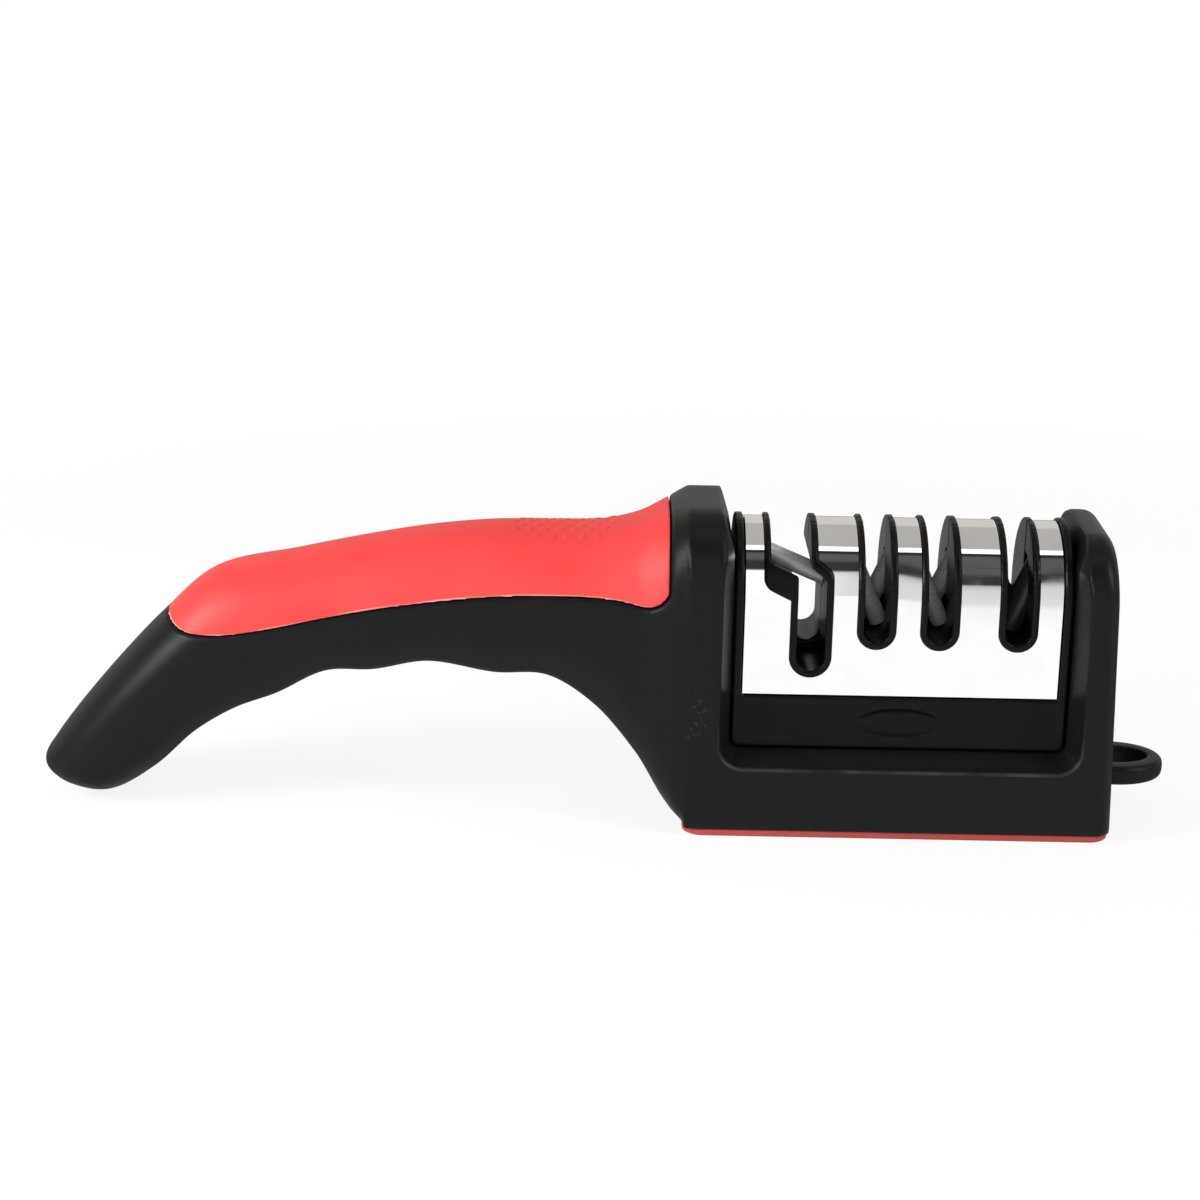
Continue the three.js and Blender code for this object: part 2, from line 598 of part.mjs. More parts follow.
function scissorRodAxis() {
  const along = new THREE.Vector3(Math.cos(SCISSOR_ROD_SLOPE), 0, Math.sin(SCISSOR_ROD_SLOPE));
  const middle = new THREE.Vector3((MOUTH_LEFT + POCKET_RIGHT) / 2, 0, SCISSOR_ROD_HEIGHT);
  return { middle, along, length: SCISSOR_ROD_LENGTH };
}

// A rod with chamfered ends about the origin, along Z.
function rod(diameter, length, chamfer) {
  const radius = diameter / 2;
  const half = length / 2;
  const profile = [
    [0, -half],
    [radius - chamfer, -half],
    [radius, -half + chamfer],
    [radius, half - chamfer],
    [radius - chamfer, half],
    [0, half],
  ];
  return turned(profile);
}

// The turn that lays something along Z on an axis in the X-Z plane.
function turnTo(along) {
  return new THREE.Quaternion().setFromUnitVectors(new THREE.Vector3(0, 0, 1), along);
}

// A rod's seat: the rod grown by its clearance, open to the head's middle plane for it to drop in.
function rodSeat({ middle, along, length }, diameter) {
  const seat = diameter + 2 * ROD_GAP;
  const turn = turnTo(along);
  const placed = (geometry) => solid(geometry.applyQuaternion(turn).translate(...middle));
  const bed = placed(rod(seat, length + 2 * ROD_GAP, ROD_CHAMFER));
  if (middle.y === 0) return bed;
  const past = -middle.y - Math.sign(middle.y) * SEAT_GAP;
  const way = new THREE.BoxGeometry(seat, Math.abs(past), length + 2 * ROD_GAP).translate(0, past / 2, 0);
  return bed.add(placed(way));
}

// The frame screws: one at each end, one between the pocket and the first knife slot, one between the
// last two knife slots.
const FRAME_SCREW_PLACES = [
  FRAME_SCREW_INSET - HEAD_WIDTH / 2,
  (POCKET_RIGHT + slotCentres[0]) / 2,
  (slotCentres[1] + slotCentres[2]) / 2,
  HEAD_WIDTH / 2 - FRAME_SCREW_INSET,
];

function frameScrewHole(x) {
  const bore = (diameter, y0, y1) => {
    const geometry = new THREE.CylinderGeometry(diameter / 2, diameter / 2, y1 - y0, TURN_STEPS);
    return solid(geometry.translate(x, (y0 + y1) / 2, FRAME_SCREW_HEIGHT));
  };
  const headSeat = FRAME_RADIUS - SCREW_HEAD_HEIGHT - SEAT_GAP;
  const tip = headSeat - FRAME_SCREW_LENGTH - SEAT_GAP;
  const shank = bore(SCREW_DIAMETER + 2 * ROD_GAP, tip, REACH);
  return shank.add(bore(SCREW_HEAD_DIAMETER + 2 * ROD_GAP, headSeat, REACH));
}

// The whole frame before it is split: core under the sheet, end cheeks, slot rims, lower bar and legs.
function headBlock() {
  const half = HEAD_WIDTH / 2;
  const core = alongX(arch(FRAME_RADIUS, HEAD_BOTTOM), -half, half);
  const proud = alongX(arch(RIM_RADIUS, HEAD_BOTTOM), -half, half);
  const between = half - CHEEK_WIDTH;
  const cheeks = proud.subtract(box(-between, between, -REACH, REACH, -REACH, REACH));
  const rims = proud.intersect(slots(RIM_WIDTH));
  const bar = proud.intersect(box(-half, half, -REACH, REACH, HEAD_BOTTOM, SHEET_BOTTOM - SEAT_GAP));
  const corners = [HEAD_CORNER_RADIUS, HEAD_CORNER_RADIUS, 0, 0];
  const elevation = roundedRectangle(-half, half, HEAD_BOTTOM, HEAD_AXIS + REACH, corners);
  const outline = alongY(elevation, -REACH, REACH);
  const legs = LEG_SIDES.map((side) => leg(side, 0, HEAD_BOTTOM + FRAME_WALL));
  const uncut = union(core, cheeks, rims, bar).intersect(outline).add(union(...legs));
  return uncut.subtract(slots(0)).add(slotWebs());
}

// A thumb dimple in the lower bar's face on one side.
function dimple(side) {
  const ball = new THREE.SphereGeometry(1, DIMPLE_SIDES, DIMPLE_STEPS);
  ball.scale(DIMPLE_LENGTH / 2, DIMPLE_DEPTH, DIMPLE_HEIGHT / 2);
  ball.translate(0, side * RIM_RADIUS, (HEAD_BOTTOM + SHEET_BOTTOM) / 2);
  return solid(ball);
}

// The hollow between the halves, in the lower bar, with the screws' surroundings left solid.
function headHollow() {
  const side = HEAD_WIDTH / 2 - FRAME_WALL;
  const deep = RIM_RADIUS - FRAME_WALL;
  const low = HEAD_BOTTOM + FRAME_WALL;
  const high = POCKET_BOTTOM - RIM_WIDTH - FRAME_WALL;
  return box(-side, side, -deep, deep, low, high);
}

const HEAD_FRAME = headBlock()
  .subtract(union(dimple(-1), dimple(1)))
  .subtract(headHollow())
  .subtract(union(...FRAME_SCREW_PLACES.map(frameScrewHole)))
  .subtract(rodSeat(scissorRodAxis(), SCISSOR_ROD_DIAMETER));

function headFrameHalf(side) {
  const y0 = side < 0 ? -REACH : 0;
  const seats = KNIFE_SLOTS.map((slot) => rodSeat(rodAxis(slot, side), ROD_DIAMETER));
  const half = box(-REACH, REACH, y0, y0 + REACH, -REACH, REACH);
  return HEAD_FRAME.intersect(half).subtract(union(...seats));
}

// The bright sheet, bent over the frame between the cheeks, with a cut-out round each rim.
function brightSheet() {
  const half = HEAD_WIDTH / 2 - CHEEK_WIDTH - SEAT_GAP;
  const outside = alongX(arch(SHEET_RADIUS, SHEET_BOTTOM), -half, half);
  const inside = alongX(arch(SHEET_RADIUS - SHEET_THICKNESS, SHEET_BOTTOM - LAP), -REACH, REACH);
  return outside.subtract(inside).subtract(slots(RIM_WIDTH + SEAT_GAP / 2));
}

// Materials

function material(name, color, roughness, metalness) {
  return new THREE.MeshStandardMaterial({ name, color, roughness, metalness });
}

const blackPlastic = material("black plastic", 0x1f2120, 0.45, 0);
const frameBlack = material("frame plastic", 0x161716, 0.5, 0);
const redRubber = material("red soft rubber", 0xf04a48, 0.6, 0);
const padRed = material("red pad rubber", 0xc24446, 0.7, 0);
const brightSteel = material("bright sheet", 0xd9d9d7, 0.08, 1);
const screwSteel = material("screw steel", 0x9a9a98, 0.35, 1);
const paleRod = material("pale rod", 0xb6b6b0, 0.35, 0.4);

// Assembly

function piece(name, geometry, look) {
  const mesh = new THREE.Mesh(geometry, look);
  mesh.name = name;
  return mesh;
}

const part = (name, made, look) => piece(name, geometryOf(made), look);

function layOn(mesh, { middle, along }) {
  mesh.position.copy(middle);
  mesh.quaternion.copy(turnTo(along));
  return mesh;
}

const housing = new THREE.Group();
housing.add(
  part("main_housing", mainHousing(), blackPlastic),
  part("grip_cover", gripCover(), redRubber),
  part("grip_carrier", gripCarrier(), frameBlack),
  part("base_plate", basePlate(), frameBlack),
  part("base_pad", basePad(), padRed),
);
BASE_SCREW_PLACES.forEach((place, i) => {
  const mesh = piece(`base_screw_${i + 1}`, screw(BASE_SCREW_LENGTH), screwSteel);
  mesh.position.set(place.x, place.y, PAD_THICKNESS);
  housing.add(mesh);
});

const head = new THREE.Group();
head.add(
  part("head_frame_front", headFrameHalf(-1), frameBlack),
  part("head_frame_rear", headFrameHalf(1), frameBlack),
  part("bright_sheet", brightSheet(), brightSteel),
);
const scissorRod = rod(SCISSOR_ROD_DIAMETER, SCISSOR_ROD_LENGTH, ROD_CHAMFER);
head.add(layOn(part("scissor_rod", solid(scissorRod), paleRod), scissorRodAxis()));
for (const slot of KNIFE_SLOTS) {
  const grit = material(`${slot.name} rod`, slot.colour, 0.6, 0.2);
  for (const [side, where] of [[-1, "front"], [1, "rear"]]) {
    const axis = rodAxis(slot, side);
    const shape = solid(rod(ROD_DIAMETER, axis.length, ROD_CHAMFER));
    head.add(layOn(part(`${slot.name}_rod_${where}`, shape, grit), axis));
  }
}
FRAME_SCREW_PLACES.forEach((x, i) => {
  const mesh = piece(`frame_screw_${i + 1}`, screw(FRAME_SCREW_LENGTH), screwSteel);
  mesh.position.set(x, FRAME_RADIUS - SEAT_GAP, FRAME_SCREW_HEIGHT);
  mesh.rotation.x = Math.PI / 2;
  head.add(mesh);
});

const sharpener = new THREE.Group();
sharpener.add(housing, head);
export default sharpener;
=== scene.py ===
"""A hand-held knife sharpener: black moulded housing with an arched handle and a red soft grip, a red
pad underneath, and a sharpening head under a bright bent sheet that lifts out of the housing's cradle.

Sizes are written in millimetres and turned to metres where a mesh is made. X runs along the object with
the handle at -X, blades are drawn along Y, and the origin is the middle of the pad's underside.
"""
import math

import bmesh
import bpy
from mathutils import Matrix, Vector


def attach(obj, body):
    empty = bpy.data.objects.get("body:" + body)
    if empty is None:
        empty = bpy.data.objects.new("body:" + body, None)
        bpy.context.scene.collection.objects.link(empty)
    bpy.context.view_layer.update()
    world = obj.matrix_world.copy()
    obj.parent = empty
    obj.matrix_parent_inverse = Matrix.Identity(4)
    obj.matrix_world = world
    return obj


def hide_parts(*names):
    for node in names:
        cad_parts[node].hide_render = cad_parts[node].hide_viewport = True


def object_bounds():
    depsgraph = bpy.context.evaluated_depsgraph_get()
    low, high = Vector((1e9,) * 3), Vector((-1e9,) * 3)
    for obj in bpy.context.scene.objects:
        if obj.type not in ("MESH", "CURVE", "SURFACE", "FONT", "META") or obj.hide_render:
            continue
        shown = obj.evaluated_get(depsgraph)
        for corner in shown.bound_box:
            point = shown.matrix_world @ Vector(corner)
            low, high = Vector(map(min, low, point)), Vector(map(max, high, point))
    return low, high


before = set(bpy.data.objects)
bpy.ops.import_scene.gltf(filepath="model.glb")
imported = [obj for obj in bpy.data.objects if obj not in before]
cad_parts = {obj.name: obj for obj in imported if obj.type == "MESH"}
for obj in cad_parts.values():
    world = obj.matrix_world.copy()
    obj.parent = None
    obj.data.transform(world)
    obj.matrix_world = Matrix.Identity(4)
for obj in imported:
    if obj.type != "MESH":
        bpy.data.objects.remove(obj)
cad_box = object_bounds()

# The table and the room. A white table runs on under the object as its own background. In reflections it
# is white only where the paper lies in front of the object, and dark underneath. The room is a studio: a
# pale wall behind the camera, a dark gap above it, a lamp strip overhead and a warm grey ceiling.


class Wire:
    """A socket in a node tree. Arithmetic on it adds Math nodes, and node() adds any other node."""

    def __init__(self, tree, socket=None):
        self.tree = tree
        self.socket = socket

    def node(self, kind, settings, sockets, output=0):
        made = self.tree.nodes.new(kind)
        for name, value in settings.items():
            if name == "stops":
                self.set_stops(made.color_ramp, value)
            else:
                setattr(made, name, value)
        for name, value in sockets.items():
            if isinstance(value, Wire):
                self.tree.links.new(value.socket, made.inputs[name])
            else:
                made.inputs[name].default_value = value
        return Wire(self.tree, made.outputs[output] if made.outputs else None)

    @staticmethod
    def set_stops(ramp, stops):
        while len(ramp.elements) < len(stops):
            ramp.elements.new(1)
        for element, (position, colour) in zip(ramp.elements, stops):
            element.position = position
            element.color = colour

    def maths(self, operation, first, second):
        return self.node("ShaderNodeMath", {"operation": operation}, {0: first, 1: second})

    def __add__(self, other):
        return self.maths("ADD", self, other)

    def __radd__(self, other):
        return self.maths("ADD", other, self)

    def __sub__(self, other):
        return self.maths("SUBTRACT", self, other)

    def __rsub__(self, other):
        return self.maths("SUBTRACT", other, self)

    def __mul__(self, other):
        return self.maths("MULTIPLY", self, other)

    def __abs__(self):
        return self.maths("ABSOLUTE", self, 0)

    def at_least(self, other):
        return self.maths("MAXIMUM", self, other)

    def between(self, low, high):
        """0 up to low, 1 from high, smooth between them."""
        sockets = {"Value": self, "From Min": low, "From Max": high}
        return self.node("ShaderNodeMapRange", {"interpolation_type": "SMOOTHSTEP"}, sockets)

    def tint(self, colour, other):
        """The first colour where this is 0, the other where it is 1."""
        return self.node("ShaderNodeMix", {"data_type": "RGBA"}, {0: self, 6: colour, 7: other}, 2)

    def parts(self):
        """The X, Y and Z of a vector."""
        split = self.node("ShaderNodeSeparateXYZ", {}, {0: self})
        return [Wire(self.tree, output) for output in split.socket.node.outputs]

    def noise(self, scale, detail=2):
        """An uneven value at each place."""
        return self.node("ShaderNodeTexNoise", {}, {"Vector": self, "Scale": scale, "Detail": detail})

    def bump(self, strength, depth):
        """A surface that rises and falls with this value."""
        return self.node("ShaderNodeBump", {}, {"Strength": strength, "Distance": depth, "Height": self})


def grey(level):
    return (level, level, level, 1)


CAMERA_PLACE = (-0.05997, -0.50756, 0.19773)
CAMERA_TILT = math.radians(73)
CAMERA_ROLL = math.radians(1.1)
CAMERA_LENS = 78.6
CAMERA_SENSOR = 36
camera = bpy.data.objects.new("camera", bpy.data.cameras.new("camera"))
bpy.context.scene.collection.objects.link(camera)
bpy.context.scene.camera = camera
camera.data.lens = CAMERA_LENS
camera.data.sensor_width = CAMERA_SENSOR
turned = Matrix.Rotation(CAMERA_TILT, 4, "X") @ Matrix.Rotation(CAMERA_ROLL, 4, "Z")
camera.matrix_world = Matrix.Translation(CAMERA_PLACE) @ turned

bpy.context.scene.view_settings.view_transform = "Standard"

# Degrees from the wall behind the camera, over the top, to the wall behind the object, and how bright.
ROOM_BANDS = [
    (0, 0.72),
    (30, 0.68),
    (38, 0.55),
    (42, 0.035),
    (54, 0.035),
    (60, 0.1),
    (68, 0.1),
    (72, 0.02),
    (75, 0.02),
    (76, 1.7),
    (82, 1.7),
    (85, 0.44),
    (136, 0.46),
    (140, 0.62),
    (180, 0.62),
]
CEILING_FROM = 84
CEILING_WARMTH = 0.93
WALLS_UNEVEN = 0.06
# Behind the camera stands a dark pillar, where the bands come down by an angle, with a bright pane to its
# left. Places are along the unit X, and a pair is where an edge begins and where it ends.
PILLAR_X = 0.148
PILLAR_EDGE = (0.012, 0.045)
PILLAR_TOP = (math.radians(48), math.radians(62))
PILLAR_DROP = math.radians(20)
PANE_LEFT = (-0.15, -0.05)
PANE_RIGHT = (0.065, 0.1)
PANE_TOP = (math.radians(37), math.radians(41))
PANE_LEVEL = 1.1

world = bpy.data.worlds.new("studio")
bpy.context.scene.world = world
world.use_nodes = True
world.node_tree.nodes.clear()
room = Wire(world.node_tree)
way = room.node("ShaderNodeTexCoord", {}, {}, "Generated")
aside, ahead, up = way.parts()
rise = room.maths("ARCTAN2", up, 0 - ahead) + (way.noise(5, 3) - 0.5) * WALLS_UNEVEN
pillar = (1 - rise.between(*PILLAR_TOP)) * (1 - abs(aside - PILLAR_X).between(*PILLAR_EDGE))
rise = rise + pillar * PILLAR_DROP
brightest = max(value for _, value in ROOM_BANDS)
bands = []
for angle, value in ROOM_BANDS:
    warmth = CEILING_WARMTH if angle > CEILING_FROM else 1
    level = value / brightest
    bands.append((angle / 180, (level, level * (1 + warmth) / 2, level * warmth, 1)))
glow = room.node("ShaderNodeValToRGB", {"stops": bands}, {0: rise * (1 / math.pi)})
pane = aside.between(*PANE_LEFT) * (1 - aside.between(*PANE_RIGHT)) * (1 - rise.between(*PANE_TOP))
glow = pane.tint(glow, grey(PANE_LEVEL / brightest))
light = room.node("ShaderNodeBackground", {}, {"Color": glow, "Strength": brightest})
room.node("ShaderNodeOutputWorld", {}, {"Surface": light})


def finish(name):
    """A new material, and the place on its piece, where its nodes start."""
    material = bpy.data.materials.new(name)
    material.use_nodes = True
    material.node_tree.nodes.clear()
    return material, Wire(material.node_tree).node("ShaderNodeTexCoord", {}, {}, "Object")


TABLE_HALF = 6
TABLE_PAINT = grey(0.95)
SHADE_KEPT = 0.18
SHADE_LIFT = 0.2
SHADE_REACH = (0.22, 0.4)
# How bright the table is in reflections along Y, from in front of the object to underneath and behind it.
TABLE_MIRRORED = [
    (-0.25, 0.72),
    (-0.19, 0.8),
    (-0.15, 1),
    (-0.025, 1),
    (0.005, 0.1),
    (0.09, 0.1),
    (0.13, 0.3),
]
MIRRORED_FROM = -0.25
MIRRORED_SPAN = 0.42
# To the left the paper runs on towards the camera, and its right edge moves out as it does.
PAPER_RIGHT = (0, 0.04)
PAPER_SPREAD = 0.1
PAPER_FRONT = (-0.16, -0.14)

table_mesh = bpy.data.meshes.new("table")
corners = [(-TABLE_HALF, -TABLE_HALF, 0), (TABLE_HALF, -TABLE_HALF, 0)]
corners += [(TABLE_HALF, TABLE_HALF, 0), (-TABLE_HALF, TABLE_HALF, 0)]
table_mesh.from_pydata(corners, [], [(0, 1, 2, 3)])
table = bpy.data.objects.new("table", table_mesh)
bpy.context.scene.collection.objects.link(table)
table_white, spot = finish("table white")
rays = ("Is Camera Ray", "Is Glossy Ray", "Is Transmission Ray")
plain, glossy, passing = [spot.node("ShaderNodeLightPath", {}, {}, ray) for ray in rays]
seen = plain.at_least(glossy).at_least(passing)
aside, ahead, _ = spot.parts()
stops = [((y - MIRRORED_FROM) / MIRRORED_SPAN, grey(level)) for y, level in TABLE_MIRRORED]
along = (ahead - MIRRORED_FROM) * (1 / MIRRORED_SPAN)
mirrored = spot.node("ShaderNodeValToRGB", {"stops": stops}, {0: along})
paper = 1 - (aside + ahead * PAPER_SPREAD).between(*PAPER_RIGHT)
mirrored = mirrored.at_least(paper * (1 - ahead.between(*PAPER_FRONT)))
paint = spot.node("ShaderNodeBsdfDiffuse", {}, {"Color": TABLE_PAINT})
lift = spot.node("ShaderNodeEmission", {}, {"Color": grey(1), "Strength": SHADE_LIFT})
paint = spot.node("ShaderNodeAddShader", {}, {0: paint, 1: lift})
white = spot.node("ShaderNodeEmission", {}, {"Color": glossy.tint(grey(1), mirrored), "Strength": 1})
distance = spot.node("ShaderNodeVectorMath", {"operation": "LENGTH"}, {0: spot}, "Value")
shade = (1 - distance.between(*SHADE_REACH)) * SHADE_KEPT
look = spot.node("ShaderNodeMixShader", {}, {0: seen * (1 - shade), 1: paint, 2: white})
spot.node("ShaderNodeOutputMaterial", {}, {"Surface": look})
table_mesh.materials.append(table_white)


def lamp(name, place, target, size, power):
    data = bpy.data.lights.new(name, "AREA")
    data.shape = "RECTANGLE"
    data.size, data.size_y = size
    data.energy = power
    made = bpy.data.objects.new(name, data)
    bpy.context.scene.collection.objects.link(made)
    aim = (Vector(target) - Vector(place)).to_track_quat("-Z", "Y")
    made.matrix_world = Matrix.Translation(place) @ aim.to_matrix().to_4x4()


lamp("left softbox", (-0.42, -0.17, 0.21), target=(-0.15, 0, 0.03), size=(0.14, 0.16), power=1.25)
lamp("right softbox", (0.7, -0.35, 0.6), target=(0, 0, 0.03), size=(0.2, 0.5), power=3)

# The housing's block: a black moulding with a post at each end, the flared cradle between them, slots in
# the cradle's floor for the head's legs, and the hanging loop. It is hollow underneath, with four bosses.
MM = 0.001
BODY_LEFT = -43
BODY_RIGHT = 43
BODY_DEPTH = 42
PAD_THICKNESS = 1.5
LEFT_POST = 64.5
RIGHT_POST = 61
SHOULDER_RADIUS = 13
PLAN_RADIUS = 4
END_ROUND = 3
END_LEAN = math.tan(math.radians(1.75))
NECK_MEETS = 0.4
BASE_WALL = 2.5
HOLLOW_TOP = 12.2
CRADLE_HALF = 33.7
CRADLE_FLOOR = 16.7
CRADLE_DEEP = 15
FLOOR_CORNER = 1.6
FLARE = 2.3
LEDGE = 14.2
LEDGE_CORNER = 5
LEFT_LEAD_IN = 57
LEFT_LEAN = math.tan(math.radians(17))
RIGHT_LEAD_IN = 54.5
RIGHT_LEAN = math.tan(math.radians(17.5))
LEG_X = 19.98
LEG_Y = 5.5
LEG_HALF = (6, 1.5)
LEG_BOTTOM = 9
LEG_GAP = 0.4
SCREW_X = 34
SCREW_Y = 13.5
BOSS_RADIUS = 3.5
BOSS_BOTTOM = 3.5
PILOT_RADIUS = 1.5
PILOT_TOP = 11
LOOP_TIP = 56.4
LOOP_CENTRE = 46.2
LOOP_HALF = 8.6
LOOP_HEIGHTS = (7.6, 11.6)
LOOP_RING = 4.1
LOOP_TIP_RING = 3.2
LOOP_EDGE = 1.2
LOOP_SIDES = 72
ROUND_SIDES = 48
HOUSING_GRAIN = 0.52
# How far a cutter goes past a surface: just through it, well clear of it, or past the whole object.
LAP = 1
CLEAR = 5
FAR = 300


def solid(name, points, faces):
    """A closed mesh object from points in millimetres, with its faces outwards."""
    mesh = bpy.data.meshes.new(name)
    mesh.from_pydata([Vector(point) * MM for point in points], [], faces)
    shell = bmesh.new()
    shell.from_mesh(mesh)
    bmesh.ops.recalc_face_normals(shell, faces=shell.faces)
    shell.to_mesh(mesh)
    shell.free()
    made = bpy.data.objects.new(name, mesh)
    bpy.context.scene.collection.objects.link(made)
    return made


def loft(name, rings):
    """Rings of as many points each, joined in order and closed at both ends."""
    count = len(rings[0])
    last = count * (len(rings) - 1)
    faces = [range(count), range(last, last + count)]
    for start in range(0, last, count):
        for i in range(count):
            j = (i + 1) % count
            faces.append((start + i, start + j, start + count + j, start + count + i))
    return solid(name, [point for ring in rings for point in ring], faces)


def along_x(outline, x0, x1):
    return loft("bar", [[(x, y, z) for y, z in outline] for x in (x0, x1)])


def along_y(outline, y0, y1):
    return loft("slab", [[(x, y, z) for x, z in outline] for y in (y0, y1)])


def along_z(outline, z0, z1):
    return loft("plate", [[(x, y, z) for x, y in outline] for z in (z0, z1)])


def box(x0, x1, y0, y1, z0, z1):
    return along_z([(x0, y0), (x1, y0), (x1, y1), (x0, y1)], z0, z1)


def arc(centre, radius, start, end, steps=16):
    """Points on an arc between two angles in degrees."""
    angles = [math.radians(start + (end - start) * i / steps) for i in range(steps + 1)]
    return [(centre[0] + radius * math.cos(a), centre[1] + radius * math.sin(a)) for a in angles]


def circle(centre, radius, count, turned=0):
    """Points all round a circle, turned by a share of one step."""
    step = 360 / count
    return arc(centre, radius, turned * step, (count - 1 + turned) * step, count - 1)


def rounded(x0, x1, y0, y1, radius):
    """A rectangle with its corners rounded."""
    centres = [(x1 - radius, y0 + radius), (x1 - radius, y1 - radius)]
    centres += [(x0 + radius, y1 - radius), (x0 + radius, y0 + radius)]
    return [p for i, c in enumerate(centres) for p in arc(c, radius, 90 * i - 90, 90 * i)]


def rounded_edge(radius, bottom, top, steps=6):
    """How far in a plate's edge is at each height, where it is rounded below and above."""
    lower = arc((radius, bottom + radius), radius, 270, 180, steps)
    upper = arc((radius, top - radius), radius, 180, 90, steps)
    return lower + upper


def bake(piece):
    """The piece with its modifiers worked into a plain mesh."""
    shaped = piece.evaluated_get(bpy.context.evaluated_depsgraph_get())
    mesh = bpy.data.meshes.new_from_object(shaped)
    piece.modifiers.clear()
    old = piece.data
    piece.data = mesh
    bpy.data.meshes.remove(old)
    return piece


def combine(piece, operation, *tools):
    """The piece united with, intersected with or cut by each tool, which is used up."""
    for tool in tools:
        step = piece.modifiers.new("combine", "BOOLEAN")
        step.operation = operation
        step.solver = "EXACT"
        step.object = tool
        bake(piece)
        bpy.data.objects.remove(tool)
    return piece


def join(name, pieces):
    """Several meshes as one object."""
    shell = bmesh.new()
    for piece in pieces:
        shell.from_mesh(piece.data)
    mesh = bpy.data.meshes.new(name)
    shell.to_mesh(mesh)
    shell.free()
    for piece in pieces:
        bpy.data.objects.remove(piece)
    made = bpy.data.objects.new(name, mesh)
    bpy.context.scene.collection.objects.link(made)
    return made


def moulded(piece, name, grain, softening):
    """One skin over the piece, its edges rounded as a mould leaves them. Grain is the size of the faces."""
    skin = piece.modifiers.new("skin", "REMESH")
    skin.mode = "VOXEL"
    skin.voxel_size = grain * MM
    soft = piece.modifiers.new("soft edges", "SMOOTH")
    soft.factor = 0.5
    soft.iterations = softening
    bake(piece)
    piece.name = piece.data.name = name
    piece.data.shade_smooth()
    return piece


def shoulders(height, inset=0):
    """A post's section across X."""
    half = BODY_DEPTH / 2 - inset
    r = SHOULDER_RADIUS - inset
    middle = height - SHOULDER_RADIUS
    sides = [(-half, PAD_THICKNESS), (half, PAD_THICKNESS)]
    return sides + arc((half - r, middle), r, 0, 90) + arc((r - half, middle), r, 90, 180)


def right_end(steps=12):
    """The block up to its right end, which leans in a little and is rounded over all the way round."""
    rings = [[(-LAP, y, z) for y, z in shoulders(RIGHT_POST)]]
    for i in range(steps + 1):
        angle = math.pi / 2 * i / steps
        reach = BODY_RIGHT - END_ROUND * (1 - math.sin(angle))
        section = shoulders(RIGHT_POST, END_ROUND * (1 - math.cos(angle)))
        rings.append([(reach - END_LEAN * (z - PAD_THICKNESS), y, z) for y, z in section])
    return loft("right end", rings)


def plan(inset):
    """The block's outline seen from above."""
    half = BODY_DEPTH / 2 - inset
    return rounded(BODY_LEFT + inset, BODY_RIGHT - inset, -half, half, PLAN_RADIUS)


def cradle_ring(y, half, floor, radius):
    """The cradle's section across Y, with its walls leaning apart at the top."""
    low = floor + radius
    top = LEFT_POST + CLEAR
    outline = [(-half - LEFT_LEAN * (top - LEFT_LEAD_IN), top), (-half, LEFT_LEAD_IN)]
    outline += arc((radius - half, low), radius, 180, 270) + arc((half - radius, low), radius, 270, 360)
    outline += [(half, RIGHT_LEAD_IN), (half + RIGHT_LEAN * (top - RIGHT_LEAD_IN), top)]
    return [(x, y, z) for x, z in outline]


def cradle():
    face = BODY_DEPTH / 2
    places = (-2 * face, -face, face, 2 * face)
    wide = [cradle_ring(y, CRADLE_HALF + FLARE, LEDGE, LEDGE_CORNER) for y in places]
    narrow = [cradle_ring(y, CRADLE_HALF, CRADLE_FLOOR, FLOOR_CORNER) for y in (-CRADLE_DEEP, CRADLE_DEEP)]
    return loft("cradle", wide[:2] + narrow + wide[2:])


def posts(name, radius, z0, z1):
    """A round post at each of the base's screws."""
    places = [(x, y) for x in (-SCREW_X, SCREW_X) for y in (-SCREW_Y, SCREW_Y)]
    return join(name, [along_z(circle(place, radius, ROUND_SIDES), z0, z1) for place in places])


def leg(x, y, gap, top):
    """A leg of the head or, with a gap, the slot that it stands in."""
    wide, deep = [half + gap for half in LEG_HALF]
    return box(x - wide, x + wide, y - deep, y + deep, LEG_BOTTOM - gap, top)


def oval(centre, long_half, short_half):
    return [(centre + long_half * x, short_half * y) for x, y in circle((0, 0), 1, LOOP_SIDES, 0.5)]


block = along_x(shoulders(LEFT_POST), BODY_LEFT + NECK_MEETS, 0)
combine(block, "UNION", right_end())
combine(block, "DIFFERENCE", cradle())

hollow = along_z(plan(BASE_WALL), -CLEAR, HOLLOW_TOP)
combine(hollow, "DIFFERENCE", posts("bosses", BOSS_RADIUS, BOSS_BOTTOM, HOLLOW_TOP + CLEAR))
combine(block, "DIFFERENCE", hollow, posts("pilots", PILOT_RADIUS, 0, PILOT_TOP))
leg_places = [(x, y) for x in (-LEG_X, LEG_X) for y in (-LEG_Y, LEG_Y)]
leg_slots = [leg(x, y, LEG_GAP, CRADLE_FLOOR + LAP) for x, y in leg_places]
combine(block, "DIFFERENCE", join("leg slots", leg_slots))

rings = []
for inset, z in rounded_edge(LOOP_EDGE, *LOOP_HEIGHTS):
    outline = oval(LOOP_CENTRE, LOOP_TIP - LOOP_CENTRE - inset, LOOP_HALF - inset)
    rings.append([(x, y, z) for x, y in outline])
loop = loft("loop", rings)
hole = oval(LOOP_CENTRE, LOOP_TIP - LOOP_CENTRE - LOOP_TIP_RING, LOOP_HALF - LOOP_RING)
combine(loop, "DIFFERENCE", along_z(hole, -FAR, FAR))
combine(loop, "INTERSECT", box(BODY_RIGHT - BASE_WALL / 2, FAR, -FAR, FAR, -FAR, FAR))
block = join("block", [block, loop])

